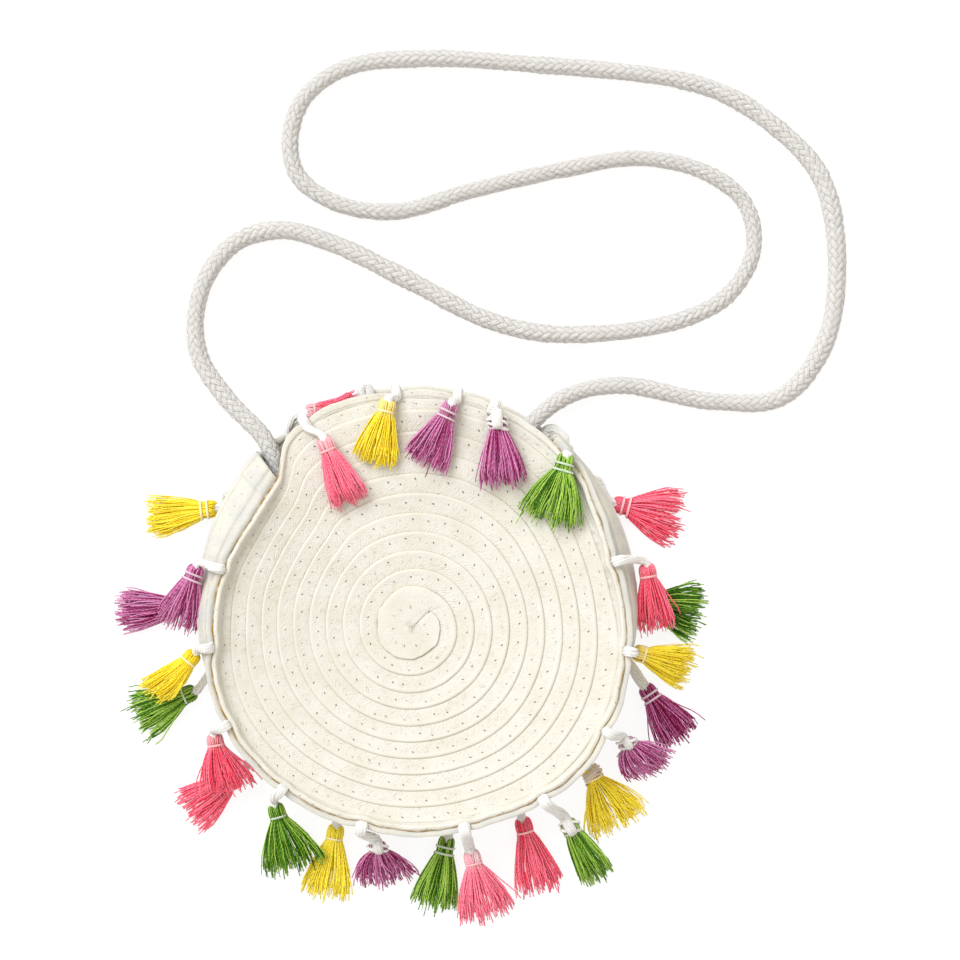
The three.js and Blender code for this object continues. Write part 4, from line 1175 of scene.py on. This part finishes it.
class Tassels(bpy.types.Operator):
    """Makes the yarn tassels with their binding threads and cotton loops"""
    bl_idname = "straw_bag.tassels"
    bl_label = "Tassels"

    def execute(self, context):
        sizes = context.scene.straw_bag_tassels
        cotton = material_once("soft white cotton", soft_cotton, sizes.loop)
        numbers = {"front": 0, "back": 0}
        for index, row in enumerate(TASSELS):
            numbers[row["rim"]] += 1
            node = f"tassel_{row['rim']}_{numbers[row['rim']]:02d}_{row['yarn']}"
            rng = np.random.default_rng(SEED * 100 + index)
            form = TasselForm(row, STYLES.get(node, {}))
            dye = getattr(sizes, row["yarn"])
            pale = tuple(blend(part, 1.0, 0.5) for part in dye[:3]) + (1.0,)
            tones = STRAND_TONES[row["yarn"]]
            materials = [material_once(row["yarn"] + " yarn", yarn, tuple(dye), *tones), cotton,
                         material_once("pale " + row["yarn"] + " thread", soft_cotton, pale)]
            paths, radii = form.strands(sizes.strands, sizes.strand_radius / MM, rng)
            strands = tubes("strands", paths, radii, STRAND_SIDES)
            step, _ = indices(strands)
            tuft = np.repeat(rng.uniform(0.3, 1, sizes.strands), len(step) // sizes.strands)
            mark(strands, "tone", np.full(len(step), form.style["tone"]))
            mark(strands, "pale", form.style["pale"] * tuft * (1 - smooth(0.16, 0.3, STRAND_STEPS[step])))
            loop = tubes("loop", *form.loop_threads(rng), STRAND_SIDES)
            rings = form.ties(row["ties"])
            ties = tubes("ties", rings, np.full(rings.shape[:2], TIE_RADIUS), TIE_SIDES)
            parts = [(strands, 0), (loop, 1), (ties, 2)]
            if form.style["wraps"]:
                wraps = tubes("wraps", *form.wraps(form.style["wraps"], rng), WRAP_SIDES)
                parts.append((wraps, 3 if form.style["brown"] else 1))
                materials.append(material_once("undyed cotton", soft_cotton, sizes.undyed))
            piece("yarn_" + node, joined("yarn_" + node, parts), materials, [node])
        return {"FINISHED"}


class LoneLoops(bpy.types.Operator):
    """Makes the two cotton loops whose tassels lie hidden"""
    bl_idname = "straw_bag.lone_loops"
    bl_label = "Lone loops"

    def execute(self, context):
        sizes = context.scene.straw_bag_tassels
        cotton = material_once("soft white cotton", soft_cotton, sizes.loop)
        for index, (node, (at, half, reach)) in enumerate(LONE_LOOPS.items()):
            turns = (-0.9, -1, -0.6, 0, 0.6, 1, 0.9)
            steps = (-LOOP["tuck"], 0, reach * 0.85, reach, reach * 0.85, 0, -LOOP["tuck"])
            route, _ = smooth_path([(*direction(at + turn * half) * (BACK_RADIUS + step), BACK_SEAM + 0.4)
                                    for turn, step in zip(turns, steps)], 2 * LOOP_STEPS)
            ahead = np.gradient(route, axis=0)
            sides = np.cross(ahead / np.linalg.norm(ahead, axis=1, keepdims=True), (0, 0, 1.0))
            rng = np.random.default_rng(SEED + index)
            paths, radii = thread_bundle(route, sides, 1.5, 1.0, LOOP_THREADS, rng)
            mesh = tubes("cotton_" + node, paths, radii, STRAND_SIDES)
            piece("cotton_" + node, mesh, [cotton], [node])
        return {"FINISHED"}


class Stage(bpy.types.Operator):
    """Sets the floor, the light and the camera straight above"""
    bl_idname = "straw_bag.stage"
    bl_label = "Stage"

    def execute(self, context):
        stage = context.scene.straw_bag_stage
        shape = bmesh.new()
        bmesh.ops.create_grid(shape, x_segments=1, y_segments=1, size=FLOOR["half"])
        bmesh.ops.translate(shape, verts=shape.verts, vec=(0, 0, -FLOOR["under"]))
        mesh = bpy.data.meshes.new("floor")
        shape.to_mesh(mesh)
        shape.free()
        floor = bpy.data.objects.new("floor", mesh)
        context.scene.collection.objects.link(floor)
        material, node = new_material("white paper backdrop")
        node("OutputMaterial", [node("BsdfPrincipled", {
            "Base Color": stage.floor, "Roughness": 0.9, "Emission Color": colour("#ffffff"),
            "Emission Strength": FLOOR["glow"]})])
        mesh.materials.append(material)

        world = bpy.data.worlds.new("studio")
        world.use_nodes = True
        sky = world.node_tree.nodes["Background"].inputs
        sky["Color"].default_value = colour(SKY["colour"])
        sky["Strength"].default_value = SKY["strength"]
        context.scene.world = world
        key = bpy.data.lights.new("key", "SUN")
        key.energy = SUN["energy"]
        key.color = colour(SUN["colour"])[:3]
        key.angle = math.radians(SUN["soft"])
        lamp = bpy.data.objects.new("key", key)
        lamp.rotation_euler = (*map(math.radians, SUN["tilt"]), 0)
        context.scene.collection.objects.link(lamp)

        lens = bpy.data.cameras.new("camera")
        lens.lens = lens.sensor_width * stage.height / stage.width
        camera = bpy.data.objects.new("camera", lens)
        camera.location = (*VIEW_MIDDLE, stage.height)
        context.scene.collection.objects.link(camera)
        context.scene.camera = camera
        context.scene.view_settings.view_transform = "Standard"
        return {"FINISHED"}


PIECES = (Stage, Strap, BackPanel, FrontPanel, Gusset, Tassels, LoneLoops)


class BagPanel(bpy.types.Panel):
    """Lists the bag's pieces and sizes"""
    bl_idname = "VIEW3D_PT_straw_bag"
    bl_label = "Straw bag"
    bl_space_type = "VIEW_3D"
    bl_region_type = "UI"
    bl_category = "Straw bag"

    def draw(self, context):
        for made in PIECES:
            self.layout.operator(made.bl_idname)
        for group, kind in SETTINGS.items():
            for label in kind.__annotations__:
                self.layout.prop(getattr(context.scene, group), label)


def register():
    for kind in (*SETTINGS.values(), *PIECES, BagPanel):
        bpy.utils.register_class(kind)
    for group, kind in SETTINGS.items():
        setattr(bpy.types.Scene, group, PointerProperty(type=kind))


def unregister():
    for group in SETTINGS:
        delattr(bpy.types.Scene, group)
    for kind in (BagPanel, *reversed(PIECES), *SETTINGS.values()):
        bpy.utils.unregister_class(kind)


def main():
    register()
    for made in PIECES:
        group, call = made.bl_idname.split(".")
        getattr(getattr(bpy.ops, group), call)()


if __name__ == "__main__":
    main()
